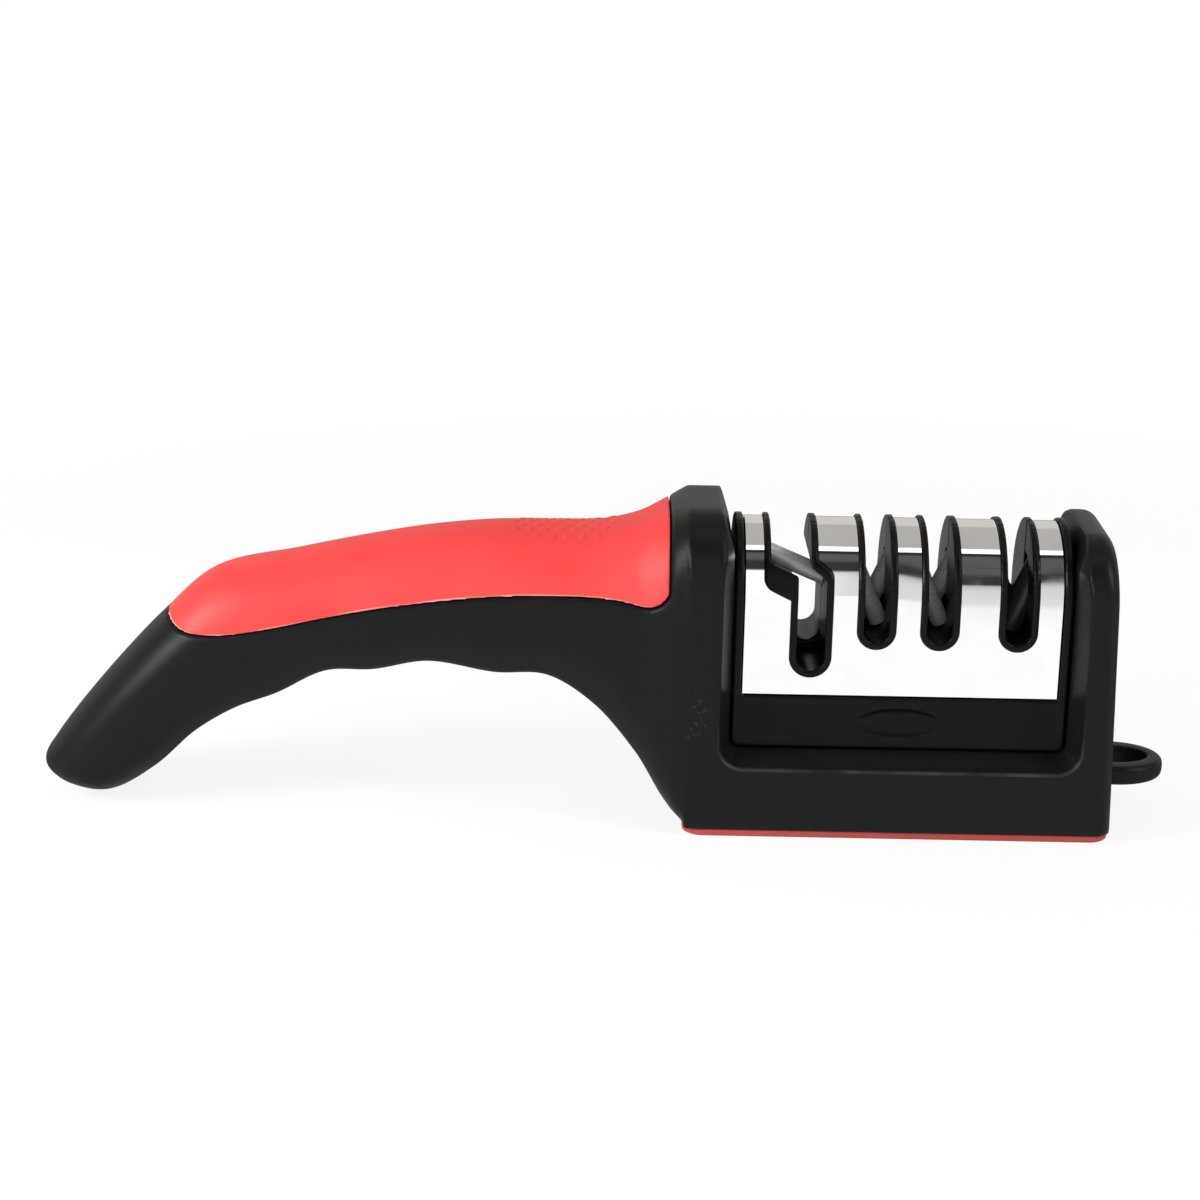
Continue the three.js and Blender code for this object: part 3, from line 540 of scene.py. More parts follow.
HOUSING_BLACK = (0.0078, 0.0086, 0.0083, 1)
# A paler black, used for the scratches and for the painted highlight along the cradle's lip.
HOUSING_WORN_AND_HIGHLIT = (0.06, 0.063, 0.062, 1)
# The housing's scratched spot and how far it reaches, and the edge of the painted highlight along the
# cradle's lip, in metres.
SCRATCHED = (-0.0405, -0.021, 0.025)
SCRATCH_REACH = (0.0035, 0.003, 0.008)
LIP_HIGHLIGHT_EDGE = (0.0001, 0.0004)
LIP_HIGHLIGHT_TOP = 1.8 * LEDGE
ERODED_DEPTH = 0.00006
SCRATCHES_SHOW = 0.7
LIP_HIGHLIGHT_SHOWS = 0.8


def surface(place, sockets):
    shader = place.node("ShaderNodeBsdfPrincipled", {}, sockets)
    place.node("ShaderNodeOutputMaterial", {}, {"Surface": shader})


def scratches(place):
    """Broken hairlines that fade out round the scratched spot."""
    off = place.node("ShaderNodeVectorMath", {"operation": "SUBTRACT"}, {0: place, 1: SCRATCHED})
    off = place.node("ShaderNodeVectorMath", {"operation": "DIVIDE"}, {0: off, 1: SCRATCH_REACH})
    far = place.node("ShaderNodeVectorMath", {"operation": "LENGTH"}, {0: off}, "Value")
    hairlines = 1 - abs(place.noise(420, 3) - 0.5).between(0.004, 0.02)
    return hairlines * (1 - far.between(0.3, 1)) * place.noise(700, 1).between(0.5, 0.6)


def painted_lip_highlight(place):
    """A painted highlight on the edge of the cradle's opening, along the ledge and round its corners, in
    patches.
    """
    x, _, z = place.parts()
    beyond = (abs(x) - (CRADLE_HALF + FLARE - LEDGE_CORNER) * MM).at_least(0)
    under = ((LEDGE + LEDGE_CORNER) * MM - z).at_least(0)
    off = abs(place.maths("SQRT", beyond * beyond + under * under, 0) - LEDGE_CORNER * MM)
    patches = place.noise(130, 3).between(0.2, 0.7)
    return (1 - off.between(*LIP_HIGHLIGHT_EDGE)) * patches * (1 - z.between(LEDGE * MM, LIP_HIGHLIGHT_TOP * MM))


def black_plastic(name, colour, worn_and_highlit, roughness, gloss, eroded):
    """Moulded black plastic: a fine spark-eroded texture, an uneven sheen, scratches in one spot, and a pale
    painted highlight along the cradle's lip."""
    material, place = finish(name)
    cloud = place.noise(35, 3)
    fine = place.noise(2600)
    # The scratches are real wear; the pale line along the cradle's lip is a painted highlight.
    scratches_and_highlight = (scratches(place) * SCRATCHES_SHOW).at_least(painted_lip_highlight(place) * LIP_HIGHLIGHT_SHOWS)
    surface(
        place,
        {
            "Base Color": scratches_and_highlight.tint(colour, worn_and_highlit),
            "Roughness": roughness + (cloud - 0.5) * 0.12 + (fine - 0.5) * 0.1,
            "Specular IOR Level": gloss,
            "Normal": fine.bump(eroded, ERODED_DEPTH),
        },
    )
    return material


housing_plastic = black_plastic(
    "housing black", HOUSING_BLACK, HOUSING_WORN_AND_HIGHLIT, roughness=0.34, gloss=0.125, eroded=0.35
)

# The handle: the rest of the same moulding, an arched tub with finger waves underneath that grows out of
# the left post. Its top is open for the grip. Ribs give its form from the tip to the post. One skin covers
# block and handle, and is parted inside the post, where nothing shows of it.
HANDLE_LENGTH = 130
HANDLE_HALF = 14.3
HANDLE_SQUARE = 2.35
HANDLE_WALL = 2.5
HANDLE_SIDES = 72
STEPS_PER_RIB = 9
NECK_LAP = 0.6
NECK_STEP = 0.02
HOLLOW_RIB = 3
PARTED = -41.5
SPECK = 100
# Each rib: top and bottom point, as shares of the handle's length and of the post's height, and half
# width as a share of the handle's.
RIBS = [
    ((0.9992, 0.0837), (0.9892, 0.0651), 0.154),
    ((1.0023, 0.124), (0.9423, 0.031), 0.559),
    ((0.9869, 0.1767), (0.89, 0.0233), 0.79),
    ((0.95, 0.2791), (0.8231, 0.1023), 0.895),
    ((0.8838, 0.4403), (0.76, 0.2202), 0.951),
    ((0.8138, 0.5922), (0.6954, 0.3008), 0.979),
    ((0.7308, 0.738), (0.6308, 0.3504), 0.993),
    ((0.6, 0.8016), (0.5538, 0.4295), 1),
    ((0.4923, 0.8496), (0.4808, 0.4357), 1.007),
    ((0.3923, 0.8853), (0.3962, 0.4667), 1.014),
    ((0.2923, 0.907), (0.2923, 0.4326), 1.021),
    ((0.2077, 0.9085), (0.2108, 0.4279), 1.042),
    ((0.1308, 0.9147), (0.1346, 0.3287), 1.091),
    ((0.0715, 0.9395), (0.0692, 0.195), 1.2),
    ((0.0262, 0.976), (0.0246, 0.07), 1.37),
]
# How square the section gets above and below, at the last two ribs and where it meets the post.
NECK_SQUARES = [(2.6, 4), (3.4, 7), (4.6, 14)]
# The lower edge of the grip, in the same shares.
GRIP_LINE = [
    (0.8077, 0.6233),
    (0.7731, 0.5891),
    (0.7231, 0.5829),
    (0.6462, 0.6062),
    (0.5231, 0.662),
    (0.4, 0.7054),
    (0.2823, 0.7302),
    (0.1769, 0.7364),
    (0.1, 0.7287),
    (0.0646, 0.7163),
]
LINE_STEPS = 8
CORNER_STEPS = 12
GRIP_END = 3.4
GRIP_CORNER = 3.4
GRIP_GAP = 0.2


def on_handle(share, rise):
    return Vector((BODY_LEFT - share * HANDLE_LENGTH, 0, rise * LEFT_POST))


def through(points, place):
    """A point on the smooth curve through some points, at a place counted in points."""
    k = min(int(place), len(points) - 2)
    t = place - k
    b, c = points[k], points[k + 1]
    a = points[k - 1] if k > 0 else 2 * b - c
    d = points[k + 2] if k + 2 < len(points) else 2 * c - b
    before, here, after = [math.sqrt((q - p).length) for p, q in ((a, b), (b, c), (c, d))]
    leave = ((b - a) / before - (c - a) / (before + here) + (c - b) / here) * here
    reach = ((c - b) / here - (d - b) / (here + after) + (d - c) / after) * here
    cubic = 2 * b - 2 * c + leave + reach
    square = -3 * b + 3 * c - 2 * leave - reach
    return b + leave * t + square * t ** 2 + cubic * t ** 3


neck = BODY_LEFT + NECK_LAP
tops = [on_handle(*top) for top, _, _ in RIBS] + [Vector((neck, 0, LEFT_POST - NECK_STEP))]
bottoms = [on_handle(*bottom) for _, bottom, _ in RIBS] + [Vector((neck, 0, PAD_THICKNESS + NECK_STEP))]
halves = [width * HANDLE_HALF for _, _, width in RIBS] + [BODY_DEPTH / 2 - NECK_STEP]
squares = [(HANDLE_SQUARE, HANDLE_SQUARE)] * (len(halves) - len(NECK_SQUARES)) + NECK_SQUARES
widths = [Vector((i, half, *squares[i])) for i, half in enumerate(halves)]


def handle_ring(place, inset):
    """The handle's section at a place counted in ribs, drawn in by an inset."""
    high, low = through(tops, place), through(bottoms, place)
    _, half, above, below = through(widths, place)
    middle = (high + low) / 2
    up = high - middle
    up *= 1 - inset / up.length
    ring = []
    for i in range(HANDLE_SIDES):
        angle = 2 * math.pi * i / HANDLE_SIDES
        across, upward = math.sin(angle), math.cos(angle)
        square = above if upward > 0 else below
        across, upward = [math.copysign(abs(v) ** (2 / square), v) for v in (across, upward)]
        point = middle + up * upward + Vector((0, (half - inset) * across, 0))
        point.x = max(point.x, cad_box[0][0] / MM)
        ring.append(point)
    return ring


def handle(inset, first=0):
    count = (len(RIBS) - first) * STEPS_PER_RIB
    return loft("handle", [handle_ring(first + i / STEPS_PER_RIB, inset) for i in range(count + 1)])


def grip_region(gap):
    """What lies above the grip's lower edge, from its nose to its square end, grown by a gap."""
    edge = [on_handle(*point) - Vector((0, 0, gap)) for point in GRIP_LINE]
    outline = [through(edge, i / LINE_STEPS) for i in range(LINE_STEPS * (len(edge) - 1) + 1)]
    outline[0].x -= gap
    end = BODY_LEFT - GRIP_END + gap
    start = edge[-1]
    turn = Vector((end - GRIP_CORNER / 2, 0, start.z - gap))
    stop = Vector((end, 0, start.z + GRIP_CORNER))
    for i in range(1, CORNER_STEPS + 1):
        t = i / CORNER_STEPS
        outline.append(start.lerp(turn, t).lerp(turn.lerp(stop, t), t))
    outline.append(Vector((end, 0, start.z + FAR)))
    outline.append(outline[0] + Vector((-FAR, 0, FAR)))
    return along_y([(point.x, point.z) for point in outline], -FAR, FAR)


def drop_specks(shell):
    """Deletes the few faces that a skin can leave apart from the rest."""
    seen = set()
    specks = []
    for face in shell.faces:
        if face in seen:
            continue
        seen.add(face)
        patch = [face]
        for known in patch:
            fresh = {other for edge in known.edges for other in edge.link_faces} - seen
            seen |= fresh
            patch += fresh
        if len(patch) < SPECK:
            specks += patch
    bmesh.ops.delete(shell, geom=specks, context="FACES")


tub = handle(0)
combine(tub, "DIFFERENCE", grip_region(GRIP_GAP))
inside = handle(HANDLE_WALL, HOLLOW_RIB)
combine(inside, "INTERSECT", box(-FAR, BODY_LEFT - GRIP_END, -FAR, FAR, -FAR, FAR))
combine(tub, "DIFFERENCE", inside)
whole = moulded(join("housing", [block, tub]), "housing skin", HOUSING_GRAIN, softening=3)
for name, clear in (("handle_tub", "clear_outer"), ("housing_block", "clear_inner")):
    shell = bmesh.new()
    shell.from_mesh(whole.data)
    drop_specks(shell)
    everything = shell.verts[:] + shell.edges[:] + shell.faces[:]
    plane = {"plane_co": (PARTED * MM, 0, 0), "plane_no": (1, 0, 0), clear: True}
    cut = bmesh.ops.bisect_plane(shell, geom=everything, **plane)["geom_cut"]
    bmesh.ops.holes_fill(shell, edges=[item for item in cut if isinstance(item, bmesh.types.BMEdge)])
    mesh = bpy.data.meshes.new(name)
    shell.to_mesh(mesh)
    shell.free()
    mesh.set_sharp_from_angle(angle=math.radians(70))
    mesh.materials.append(housing_plastic)
    part = bpy.data.objects.new(name, mesh)
    bpy.context.scene.collection.objects.link(part)
    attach(part, "housing")
    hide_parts("main_housing")
bpy.data.objects.remove(whole)

# The grip: a red soft skin moulded over a stiff carrier and pressed into the top of the handle, with a
# rounded edge and a field of small raised dots where the thumb goes.
GRIP_SKIN = 2.5
GRIP_GRAIN = 0.35
GRIP_RED = (0.9, 0.049, 0.045, 1)
GRIP_PALE = (0.92, 0.07, 0.066, 1)
# A pale pink painted highlight along the grip's rounded lower edge, and how thin it is.
GRIP_LIP_HIGHLIGHT = (0.95, 0.5, 0.48, 1)
GRIP_LIP_HIGHLIGHT_EDGE = (0.0001, 0.0005)
DUSTY_DEPTH = 0.00008


def above_edge(place):
    """How far a place is above the grip's lower edge."""
    x, _, z = place.parts()
    first, last = on_handle(*GRIP_LINE[0]), on_handle(*GRIP_LINE[-1])
    span = last.x - first.x
    stops = [((on_handle(*point).x - first.x) / span, grey(point[1])) for point in GRIP_LINE]
    along = (x - first.x * MM) * (1 / (span * MM))
    ramp = place.node("ShaderNodeValToRGB", {"stops": stops}, {0: along})
    ramp.socket.node.color_ramp.interpolation = "CARDINAL"
    return z - ramp * (LEFT_POST * MM)


def soft_red(name, colour, pale, roughness, lip_highlight_share):
    """Soft red rubber with a dusty, slightly uneven surface, and a pale pink painted highlight on a thin lip
    along the grip's lower edge.
    """
    material, place = finish(name)
    cloud = place.noise(28, 3)
    fine = place.noise(1900, 3)
    lip_highlight = 1 - above_edge(place).between(*GRIP_LIP_HIGHLIGHT_EDGE)
    red = cloud.between(0.3, 0.75).tint(colour, pale)
    surface(
        place,
        {
            # The pale pink lip is a painted highlight, not the rubber's own colour.
            "Base Color": (lip_highlight * lip_highlight_share).tint(red, GRIP_LIP_HIGHLIGHT),
            "Roughness": roughness + (cloud - 0.5) * 0.1 + (fine - 0.5) * 0.12,
            "Specular IOR Level": 0.42,
            "Normal": fine.bump(strength=0.3, depth=DUSTY_DEPTH),
        },
    )
    return material


grip = combine(handle(0), "INTERSECT", grip_region(0))
combine(grip, "DIFFERENCE", handle(GRIP_SKIN, HOLLOW_RIB))
grip = moulded(grip, "grip", GRIP_GRAIN, softening=5)
grip_red = soft_red("grip red", GRIP_RED, GRIP_PALE, roughness=0.52, lip_highlight_share=0.8)
grip.data.materials.append(grip_red)
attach(grip, "housing")
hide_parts("grip_cover")

DOT_INPUTS = {
    "Grip": ("NodeSocketObject", grip),
    "Pitch": ("NodeSocketFloat", 3 * MM),
    "Radius": ("NodeSocketFloat", 0.95 * MM),
    "Flatness": ("NodeSocketFloat", 0.2),
    "Middle": ("NodeSocketVector", (-67.5 * MM, 0, 90 * MM)),
    "Drop": ("NodeSocketFloat", 100 * MM),
    "Half Length": ("NodeSocketFloat", 11 * MM),
    "Half Width": ("NodeSocketFloat", 8.5 * MM),
    "Red": ("NodeSocketMaterial", grip_red),
}
DOT_ROWS = 8
DOTS_PER_ROW = 11
ROW_SPACING = math.sqrt(3) / 2

tree = bpy.data.node_groups.new("thumb dots", "GeometryNodeTree")
tree.interface.new_socket("Dots", in_out="OUTPUT", socket_type="NodeSocketGeometry")
for name, (kind, _) in DOT_INPUTS.items():
    tree.interface.new_socket(name, in_out="INPUT", socket_type=kind)
asked = tree.nodes.new("NodeGroupInput")
given = {name: Wire(tree, asked.outputs[name]) for name in DOT_INPUTS}
field = Wire(tree)
long_side = given["Pitch"] * (DOTS_PER_ROW - 1)
short_side = given["Pitch"] * (ROW_SPACING * (DOT_ROWS - 1))
counts = {"Size X": long_side, "Size Y": short_side, "Vertices X": DOTS_PER_ROW, "Vertices Y": DOT_ROWS}
grid = field.node("GeometryNodeMeshGrid", {}, counts)
odd_row = field.maths("MODULO", field.node("GeometryNodeInputIndex", {}, {}), 2)
shift = field.node("ShaderNodeCombineXYZ", {}, {0: (odd_row - 0.5) * (given["Pitch"] * 0.5)})
grid = field.node("GeometryNodeSetPosition", {}, {"Geometry": grid, "Offset": shift})
x, y, _ = field.node("GeometryNodeInputPosition", {}, {}).parts()
lengthwise = x * field.maths("DIVIDE", 1, given["Half Length"])
widthwise = y * field.maths("DIVIDE", 1, given["Half Width"])
outside = field.maths("GREATER_THAN", lengthwise * lengthwise + widthwise * widthwise, 1)
patch = field.node("GeometryNodeDeleteGeometry", {}, {"Geometry": grid, "Selection": outside})
patch = field.node("GeometryNodeSetPosition", {}, {"Geometry": patch, "Offset": given["Middle"]})
skin = field.node("GeometryNodeObjectInfo", {}, {"Object": given["Grip"]}, "Geometry")
cast = {"Target Geometry": skin, "Ray Direction": (0, 0, -1), "Ray Length": given["Drop"]}
landing = field.node("GeometryNodeRaycast", {}, cast, "Hit Position")
facing = Wire(tree, landing.socket.node.outputs["Hit Normal"])
store = {"data_type": "FLOAT_VECTOR", "domain": "POINT"}
kept = {"Geometry": patch, "Name": "facing", "Value": facing}
patch = field.node("GeometryNodeStoreNamedAttribute", store, kept)
patch = field.node("GeometryNodeSetPosition", {}, {"Geometry": patch, "Position": landing})
facing = field.node("GeometryNodeInputNamedAttribute", {"data_type": "FLOAT_VECTOR"}, {"Name": "facing"})
turn = field.node("FunctionNodeAlignRotationToVector", {"axis": "Z"}, {"Vector": facing})
dome = field.node("GeometryNodeMeshUVSphere", {}, {"Segments": 24, "Rings": 12, "Radius": given["Radius"]})
dome = field.node("GeometryNodeSetShadeSmooth", {}, {0: dome})
flattened = field.node("ShaderNodeCombineXYZ", {}, {0: 1, 1: 1, 2: given["Flatness"]})
placed = {"Points": patch, "Instance": dome, "Rotation": turn, "Scale": flattened}
dots = field.node("GeometryNodeInstanceOnPoints", {}, placed)
dots = field.node("GeometryNodeRealizeInstances", {}, {0: dots})
dots = field.node("GeometryNodeSetMaterial", {}, {"Geometry": dots, "Material": given["Red"]})
field.node("NodeGroupOutput", {}, {0: dots})

thumb_dots = bpy.data.objects.new("thumb_dots", bpy.data.meshes.new("thumb_dots"))
bpy.context.scene.collection.objects.link(thumb_dots)
scatter = thumb_dots.modifiers.new("dots", "NODES")
scatter.node_group = tree
for item in tree.interface.items_tree:
    if item.in_out == "INPUT":
        scatter[item.identifier] = DOT_INPUTS[item.name][1]
bake(thumb_dots)
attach(thumb_dots, "housing")
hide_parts("grip_cover")

# The base: a red non-slip pad glued over the plate that closes the hollow, and four screws that hold the
# plate. The plate, the screws and the grip's carrier are the frame's own pieces with their finishes.
PAD_INSET = 0.3
PAD_EDGE = 0.45
PAD_RED = (0.53, 0.075, 0.075, 1)
PAD_DULL = (0.42, 0.06, 0.06, 1)
INNER_BLACK = grey(0.012)
INNER_WORN_AND_HIGHLIT = grey(0.03)
STEEL_DARK = (0.3, 0.3, 0.29, 1)
STEEL_PALE = (0.42, 0.42, 0.41, 1)


def creased(piece, angle):
    """Smooth shading with an edge kept wherever the piece turns by more than an angle."""
    piece.data.shade_smooth()
    piece.data.set_sharp_from_angle(angle=math.radians(angle))


rings = []
for inset, z in rounded_edge(PAD_EDGE, 0, PAD_THICKNESS):
    rings.append([(x, y, z) for x, y in plan(PAD_INSET + inset)])
pad = loft("base_pad_skin", rings)
creased(pad, 40)
pad.data.materials.append(soft_red("pad red", PAD_RED, PAD_DULL, roughness=0.7, lip_highlight_share=0))
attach(pad, "housing")
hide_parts("base_pad")


def repaint(node, material):
    """A finish on one of the frame's own pieces."""
    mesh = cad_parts[node].data
    mesh.materials.clear()
    mesh.materials.append(material)


inner_plastic = black_plastic("inner black", INNER_BLACK, INNER_WORN_AND_HIGHLIT, roughness=0.55, gloss=0.18, eroded=0.5)
repaint("grip_carrier", inner_plastic)
repaint("base_plate", inner_plastic)

screw_steel, place = finish("screw steel")
tumbled = place.noise(900, 4)
surface(
    place,
    {
        "Base Color": tumbled.between(0.3, 0.7).tint(STEEL_DARK, STEEL_PALE),
        "Metallic": 1,
        "Roughness": 0.3 + tumbled * 0.15,
        "Normal": tumbled.bump(strength=0.25, depth=0.00004),
    },
)
for i in range(1, 5):
    repaint(f"base_screw_{i}", screw_steel)

# The sharpening head's frame: two black moulded halves that meet on the middle plane, with rims round the
# slots, cheeks at the ends, a lower bar with a thumb dimple, and legs that stand in the cradle's floor.
HEAD_HALF = 33.3
HEAD_BOTTOM = 17
HEAD_AXIS = 46.6
HEAD_CORNER = 1.4
RIM_RADIUS = 14.6
FRAME_RADIUS = 13.1
FRAME_WALL = 3
CHEEK = 1.7
BAR_TOP = 27.7
RIM = 1.3
# Each knife slot's name, its middle, how its front rod leans (-1 to the left, 1 to the right), and how
# thick its rods are.
KNIFE_SLOTS = [("coarse", -5.195, -1, 1.9), ("medium", 7.299, -1, 1.9), ("fine", 22.797, 1, 2.9)]
SLOT_HALF = 2.5
SLOT_BOTTOM = 39
SLOT_STEPS = 24
FRAME_GRAIN = 0.38


def arch(radius, bottom, steps=97):
    """The head's section across X: straight sides under a round top."""
    return [(-radius, bottom), (radius, bottom)] + arc((0, HEAD_AXIS), radius, 0, 180, steps)


def knife_slot(centre, margin):
    half = SLOT_HALF + margin
    ends = [(centre + half, FAR), (centre - half, FAR)]
    return ends + arc((centre, SLOT_BOTTOM + SLOT_HALF), half, 180, 360, SLOT_STEPS)


MOUTH_LEFT = -26.3
MOUTH_WIDTH = 7.9
POCKET_SHIFT = 5.4
POCKET_WIDTH = 5.6
POCKET_BOTTOM = 33
REAR_POCKET_RISE = 1.9
SHELF = 54.6
SHELF_DROP = 2.6
SHELF_RIM = 3.2
SHELF_CORNER = 0.6
SHELF_CORNER_GROWTH = 1.6
SHELF_WALL = 2.5
SHELF_SINK = 4.2
JOG = 53.7
JOG_DROP = 2.2
JOG_CORNER = 0.5
WEB_HALF = 3.5
WEB_TOP = 46
WEB_PLACE = (4.3, 6.3)


def turned_corner(before, corner, after, radius, steps=8):
    """A corner of an outline, rounded."""
    here = Vector(corner)
    arms = [(Vector(end) - here).normalized() for end in (before, after)]
    half_angle = arms[0].angle(arms[1]) / 2
    middle = here + (arms[0] + arms[1]).normalized() * (radius / math.sin(half_angle))
    first, last = [here + arm * (radius / math.tan(half_angle)) for arm in arms]
    ways = [(first.lerp(last, i / steps) - middle).normalized() for i in range(steps + 1)]
    return [tuple(middle + way * radius) for way in ways]


def scissors_slot(margin, shelf_height, bottom):
    """The dog-leg slot's outline with its shelf and bottom at some heights, grown by a margin for a rim."""
    half = POCKET_WIDTH / 2
    left = MOUTH_LEFT + POCKET_SHIFT
    shelf = shelf_height - margin - (SHELF_RIM if margin else 0)
    jog = JOG + margin
    right = MOUTH_LEFT + MOUTH_WIDTH + margin
    mouth = [(MOUTH_LEFT - margin, FAR), (MOUTH_LEFT - margin, shelf), (left - margin, shelf - SHELF_DROP)]
    step = [(left + POCKET_WIDTH + margin, bottom + half), (left + POCKET_WIDTH + margin, jog - JOG_DROP)]
    step += [(right, jog), (right, FAR)]
    outline = mouth[:1] + turned_corner(*mouth, SHELF_CORNER + SHELF_CORNER_GROWTH * margin) + mouth[2:]
    outline += arc((left + half, bottom + half), half + margin, 180, 360, SLOT_STEPS)
    outline += turned_corner(*step[:3], JOG_CORNER + margin) + turned_corner(*step[1:], JOG_CORNER)
    return outline + step[3:]


def head_slots(margin, side, past=0):
    """The slots of one half, from past the middle plane outwards: side -1 in front, 1 behind."""
    shelf, bottom = SHELF, POCKET_BOTTOM
    if side > 0:
        shelf, bottom = SHELF - SHELF_SINK, POCKET_BOTTOM + REAR_POCKET_RISE
    outlines = [knife_slot(centre, margin) for _, centre, _, _ in KNIFE_SLOTS]
    outlines.append(scissors_slot(margin, shelf, bottom))
    reach = sorted((-side * past, side * FAR))
    return join("slots", [along_y(outline, *reach) for outline in outlines])


ROD_GAP = 0.2
ROD_CHAMFER = 0.5
ROD_LEAN = math.radians(24)
ROD_CROSSING = 48
ROD_ABOVE = 10
ROD_BELOW = 8.2
SCISSOR_ROD = 14.4
SCISSOR_RADIUS = 1.9
SCISSOR_SLOPE = math.radians(-23)
SCISSOR_HEIGHT = 51.2
SEAT_SIDES = 24


def rod_axis(centre, front_lean, radius, side):
    """The middle, direction, length and radius of a rod in a knife slot."""
    lean = -side * front_lean
    along = Vector((lean * math.sin(ROD_LEAN), 0, math.cos(ROD_LEAN)))
    across = Vector((lean * math.cos(ROD_LEAN), 0, -math.sin(ROD_LEAN)))
    edge = Vector((centre, side * (radius + ROD_GAP), ROD_CROSSING))
    middle = edge + across * radius + along * (ROD_ABOVE - ROD_BELOW) / 2
    return middle, along, ROD_ABOVE + ROD_BELOW, radius


def scissor_axis():
    along = Vector((math.cos(SCISSOR_SLOPE), 0, math.sin(SCISSOR_SLOPE)))
    right = MOUTH_LEFT + POCKET_SHIFT + POCKET_WIDTH
    return Vector(((MOUTH_LEFT + right) / 2, 0, SCISSOR_HEIGHT)), along, SCISSOR_ROD, SCISSOR_RADIUS


def rod(name, axis, grown, sides, steps=5):
    """A rod with rounded ends on its axis, grown by a clearance."""
    middle, along, length, radius = axis
    turn = Vector((0, 0, 1)).rotation_difference(along)
    inner = radius + grown - ROD_CHAMFER
    half = length / 2 + grown - ROD_CHAMFER
    profile = arc((inner, -half), ROD_CHAMFER, -90, 0, steps)
    profile += arc((inner, half), ROD_CHAMFER, 0, 90, steps)
    rings = []
    for r, z in profile:
        ring = circle((0, 0), r, sides, 0.5)
        rings.append([middle + turn @ Vector((x, y, z)) for x, y in ring])
    return loft(name, rings)


def seats(side):
    """The beds of one half's rods, each open towards the middle plane, where the rod goes in."""
    made = []
    for _, *slot in KNIFE_SLOTS:
        axis = rod_axis(*slot, side)
        bed = rod("seat", axis, ROD_GAP, SEAT_SIDES)
        middle, along, length, radius = axis
        past = -middle.y - side * ROD_GAP
        turn = Vector((0, 0, 1)).rotation_difference(along)
        wide, tall = radius + ROD_GAP, length / 2 + ROD_GAP
        corners = [(-wide, -tall), (wide, -tall), (wide, tall), (-wide, tall)]
        rings = [[middle + turn @ Vector((x, y, z)) for x, z in corners] for y in (0, past)]
        made.append(combine(bed, "UNION", loft("way", rings)))
    return made


DIMPLE_HALF = 8.5
DIMPLE_HALF_HEIGHT = 3
DIMPLE_PLACE = 22.5
DIMPLE_DEPTH = 0.9


def dimple(side, steps=24):
    """A flat ball that leaves the thumb's dimple in the lower bar."""
    rings = []
    for i in range(1, steps):
        angle = math.pi * i / steps
        y = side * RIM_RADIUS + DIMPLE_DEPTH * math.cos(angle)
        ring = circle((0, 0), math.sin(angle), ROUND_SIDES)
        rings.append([(x * DIMPLE_HALF, y, DIMPLE_PLACE + z * DIMPLE_HALF_HEIGHT) for x, z in ring])
    return loft("dimple", rings)


def bar_hollow():
    """The space inside the lower bar, open to the hollow above it."""
    length, depth = HEAD_HALF - FRAME_WALL, RIM_RADIUS - FRAME_WALL
    return box(-length, length, -depth, depth, HEAD_BOTTOM + FRAME_WALL, BAR_TOP + LAP)


FRAME_BLACK = (0.004, 0.0043, 0.0043, 1)
FRAME_WORN_AND_HIGHLIT = (0.02, 0.021, 0.021, 1)
frame_plastic = black_plastic("frame black", FRAME_BLACK, FRAME_WORN_AND_HIGHLIT, roughness=0.3, gloss=0.12, eroded=0.2)
front_view = rounded(-HEAD_HALF, HEAD_HALF, HEAD_BOTTOM, FAR, HEAD_CORNER)
for side, where in ((-1, "front"), (1, "rear")):
    recess = along_x(arch(RIM_RADIUS + CLEAR, BAR_TOP), CHEEK - HEAD_HALF, HEAD_HALF - CHEEK)
    combine(recess, "DIFFERENCE", along_x(arch(FRAME_RADIUS, 0), -FAR, FAR), head_slots(RIM, side))
    half = along_x(arch(RIM_RADIUS, HEAD_BOTTOM - CLEAR), -FAR, FAR)
    combine(half, "INTERSECT", along_y(front_view, *sorted((0, side * FAR))))
    combine(half, "DIFFERENCE", recess, head_slots(0, side), dimple(side))
    if side < 0:
        behind_wall = scissors_slot(0, SHELF - SHELF_SINK, POCKET_BOTTOM)
        combine(half, "DIFFERENCE", along_y(behind_wall, SHELF_WALL - RIM_RADIUS, LAP))
    combine(half, "DIFFERENCE", bar_hollow())
    combine(half, "DIFFERENCE", rod("seat", scissor_axis(), ROD_GAP, SEAT_SIDES), *seats(side))
    extras = [leg(x, side * LEG_Y, 0, HEAD_BOTTOM + FRAME_WALL) for x in (-LEG_X, LEG_X)]
    if side > 0:
        for _, x, _, _ in KNIFE_SLOTS:
            extras.append(box(x - WEB_HALF, x + WEB_HALF, *WEB_PLACE, SLOT_BOTTOM, WEB_TOP))
    half = moulded(join("half", [half, *extras]), f"frame_half_{where}", FRAME_GRAIN, softening=2)
    half.data.materials.append(frame_plastic)
    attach(half, "sharpening_head")
    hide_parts(f"head_frame_{where}")
for i in range(1, 5):
    repaint(f"frame_screw_{i}", screw_steel)

# The rods: crossed abrasive rods in the three knife slots, from coarse to fine, and a slanted pale rod in
# the scissors slot. Each is ground round, with softened ends, and is caught between the halves.
ROD_SIDES = 64
# How pale each grit is, and how many of its grains go along a metre.
ROD_GRITS = {"coarse": (0.52, 1900), "medium": (0.52, 2600), "fine": (0.035, 3600)}
PALE_ROD = (0.74, 0.74, 0.72, 1)
PALE_ROD_BRIGHT = (0.85, 0.85, 0.82, 1)
GRINDING_MARKS = (900, 60, 60)


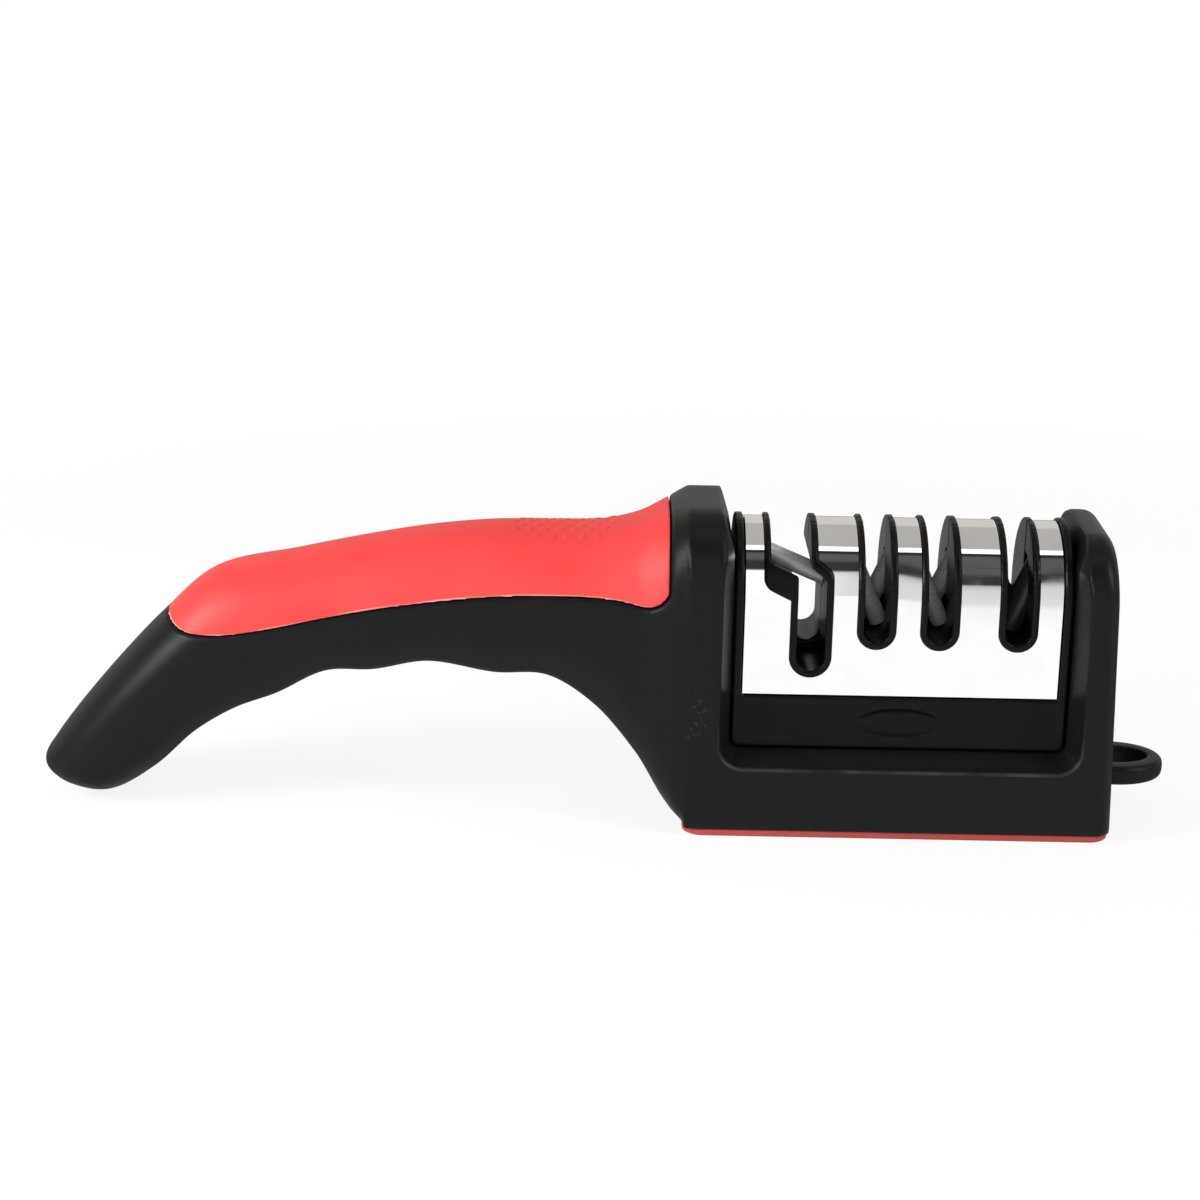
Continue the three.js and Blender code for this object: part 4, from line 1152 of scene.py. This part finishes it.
def grit(name, level, grains):
    """A bonded abrasive: grains in a darker bond, rough to the touch."""
    material, place = finish(name)
    cells = place.node("ShaderNodeTexVoronoi", {}, {"Vector": place, "Scale": grains}, "Distance")
    surface(
        place,
        {
            "Base Color": cells.between(0.15, 0.75).tint(grey(level * 1.1), grey(level * 0.85)),
            "Roughness": 0.36 + (place.noise(180, 3) - 0.5) * 0.2,
            "Specular IOR Level": 0.5,
            "Normal": cells.bump(strength=0.12, depth=0.00004),
        },
    )
    return material


for name, *slot in KNIFE_SLOTS:
    abrasive = grit(f"{name} grit", *ROD_GRITS[name])
    for side, where in ((-1, "front"), (1, "rear")):
        piece = rod(f"{name}_abrasive_{where}", rod_axis(*slot, side), 0, ROD_SIDES)
        creased(piece, 40)
        piece.data.materials.append(abrasive)
        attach(piece, "sharpening_head")
        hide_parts(f"{name}_rod_{where}")

pale_ceramic, place = finish("pale rod")
stretched = place.node("ShaderNodeMapping", {}, {"Vector": place, "Scale": GRINDING_MARKS})
ground = stretched.noise(1, 3)
surface(
    place,
    {
        "Base Color": ground.between(0.3, 0.7).tint(PALE_ROD, PALE_ROD_BRIGHT),
        "Metallic": 0.3,
        "Roughness": 0.36 + ground * 0.12,
        "Normal": ground.bump(strength=0.15, depth=0.00005),
    },
)
scissors_bar = rod("scissors_bar", scissor_axis(), 0, ROD_SIDES)
creased(scissors_bar, 40)
scissors_bar.data.materials.append(pale_ceramic)
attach(scissors_bar, "sharpening_head")
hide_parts("scissor_rod")

# The bright sheet: thin polished metal bent over the frame between the cheeks, with a cut-out that clears
# each rim. It shows the room's bands, a little unevenly.
SHEET_RADIUS = 14
SHEET_THICKNESS = 0.6
SHEET_BOTTOM = 28
SHEET_HALF = 31.3
SHEET_GAP = 0.15
SHEET_STEPS = 160
SHEET_BRIGHT = (0.985, 0.985, 0.985, 1)
SHEET_FILM = (0.95, 0.95, 0.945, 1)

sheet = along_x(arch(SHEET_RADIUS, SHEET_BOTTOM, SHEET_STEPS), -SHEET_HALF, SHEET_HALF)
under_sheet = arch(SHEET_RADIUS - SHEET_THICKNESS, SHEET_BOTTOM - CLEAR, SHEET_STEPS)
combine(sheet, "DIFFERENCE", along_x(under_sheet, -FAR, FAR))
for side in (-1, 1):
    combine(sheet, "DIFFERENCE", head_slots(RIM + SHEET_GAP, side, LAP))
sheet.name = sheet.data.name = "polished_sheet"
creased(sheet, 30)

polish, place = finish("polished metal")
film = place.noise(160, 4)
surface(
    place,
    {
        "Base Color": film.between(0.35, 0.75).tint(SHEET_BRIGHT, SHEET_FILM),
        "Metallic": 1,
        "Roughness": 0.035 + film.between(0.5, 0.8) * 0.05,
        "Normal": place.noise(45, 1).bump(strength=0.12, depth=0.0006),
    },
)
sheet.data.materials.append(polish)
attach(sheet, "sharpening_head")
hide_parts("bright_sheet")
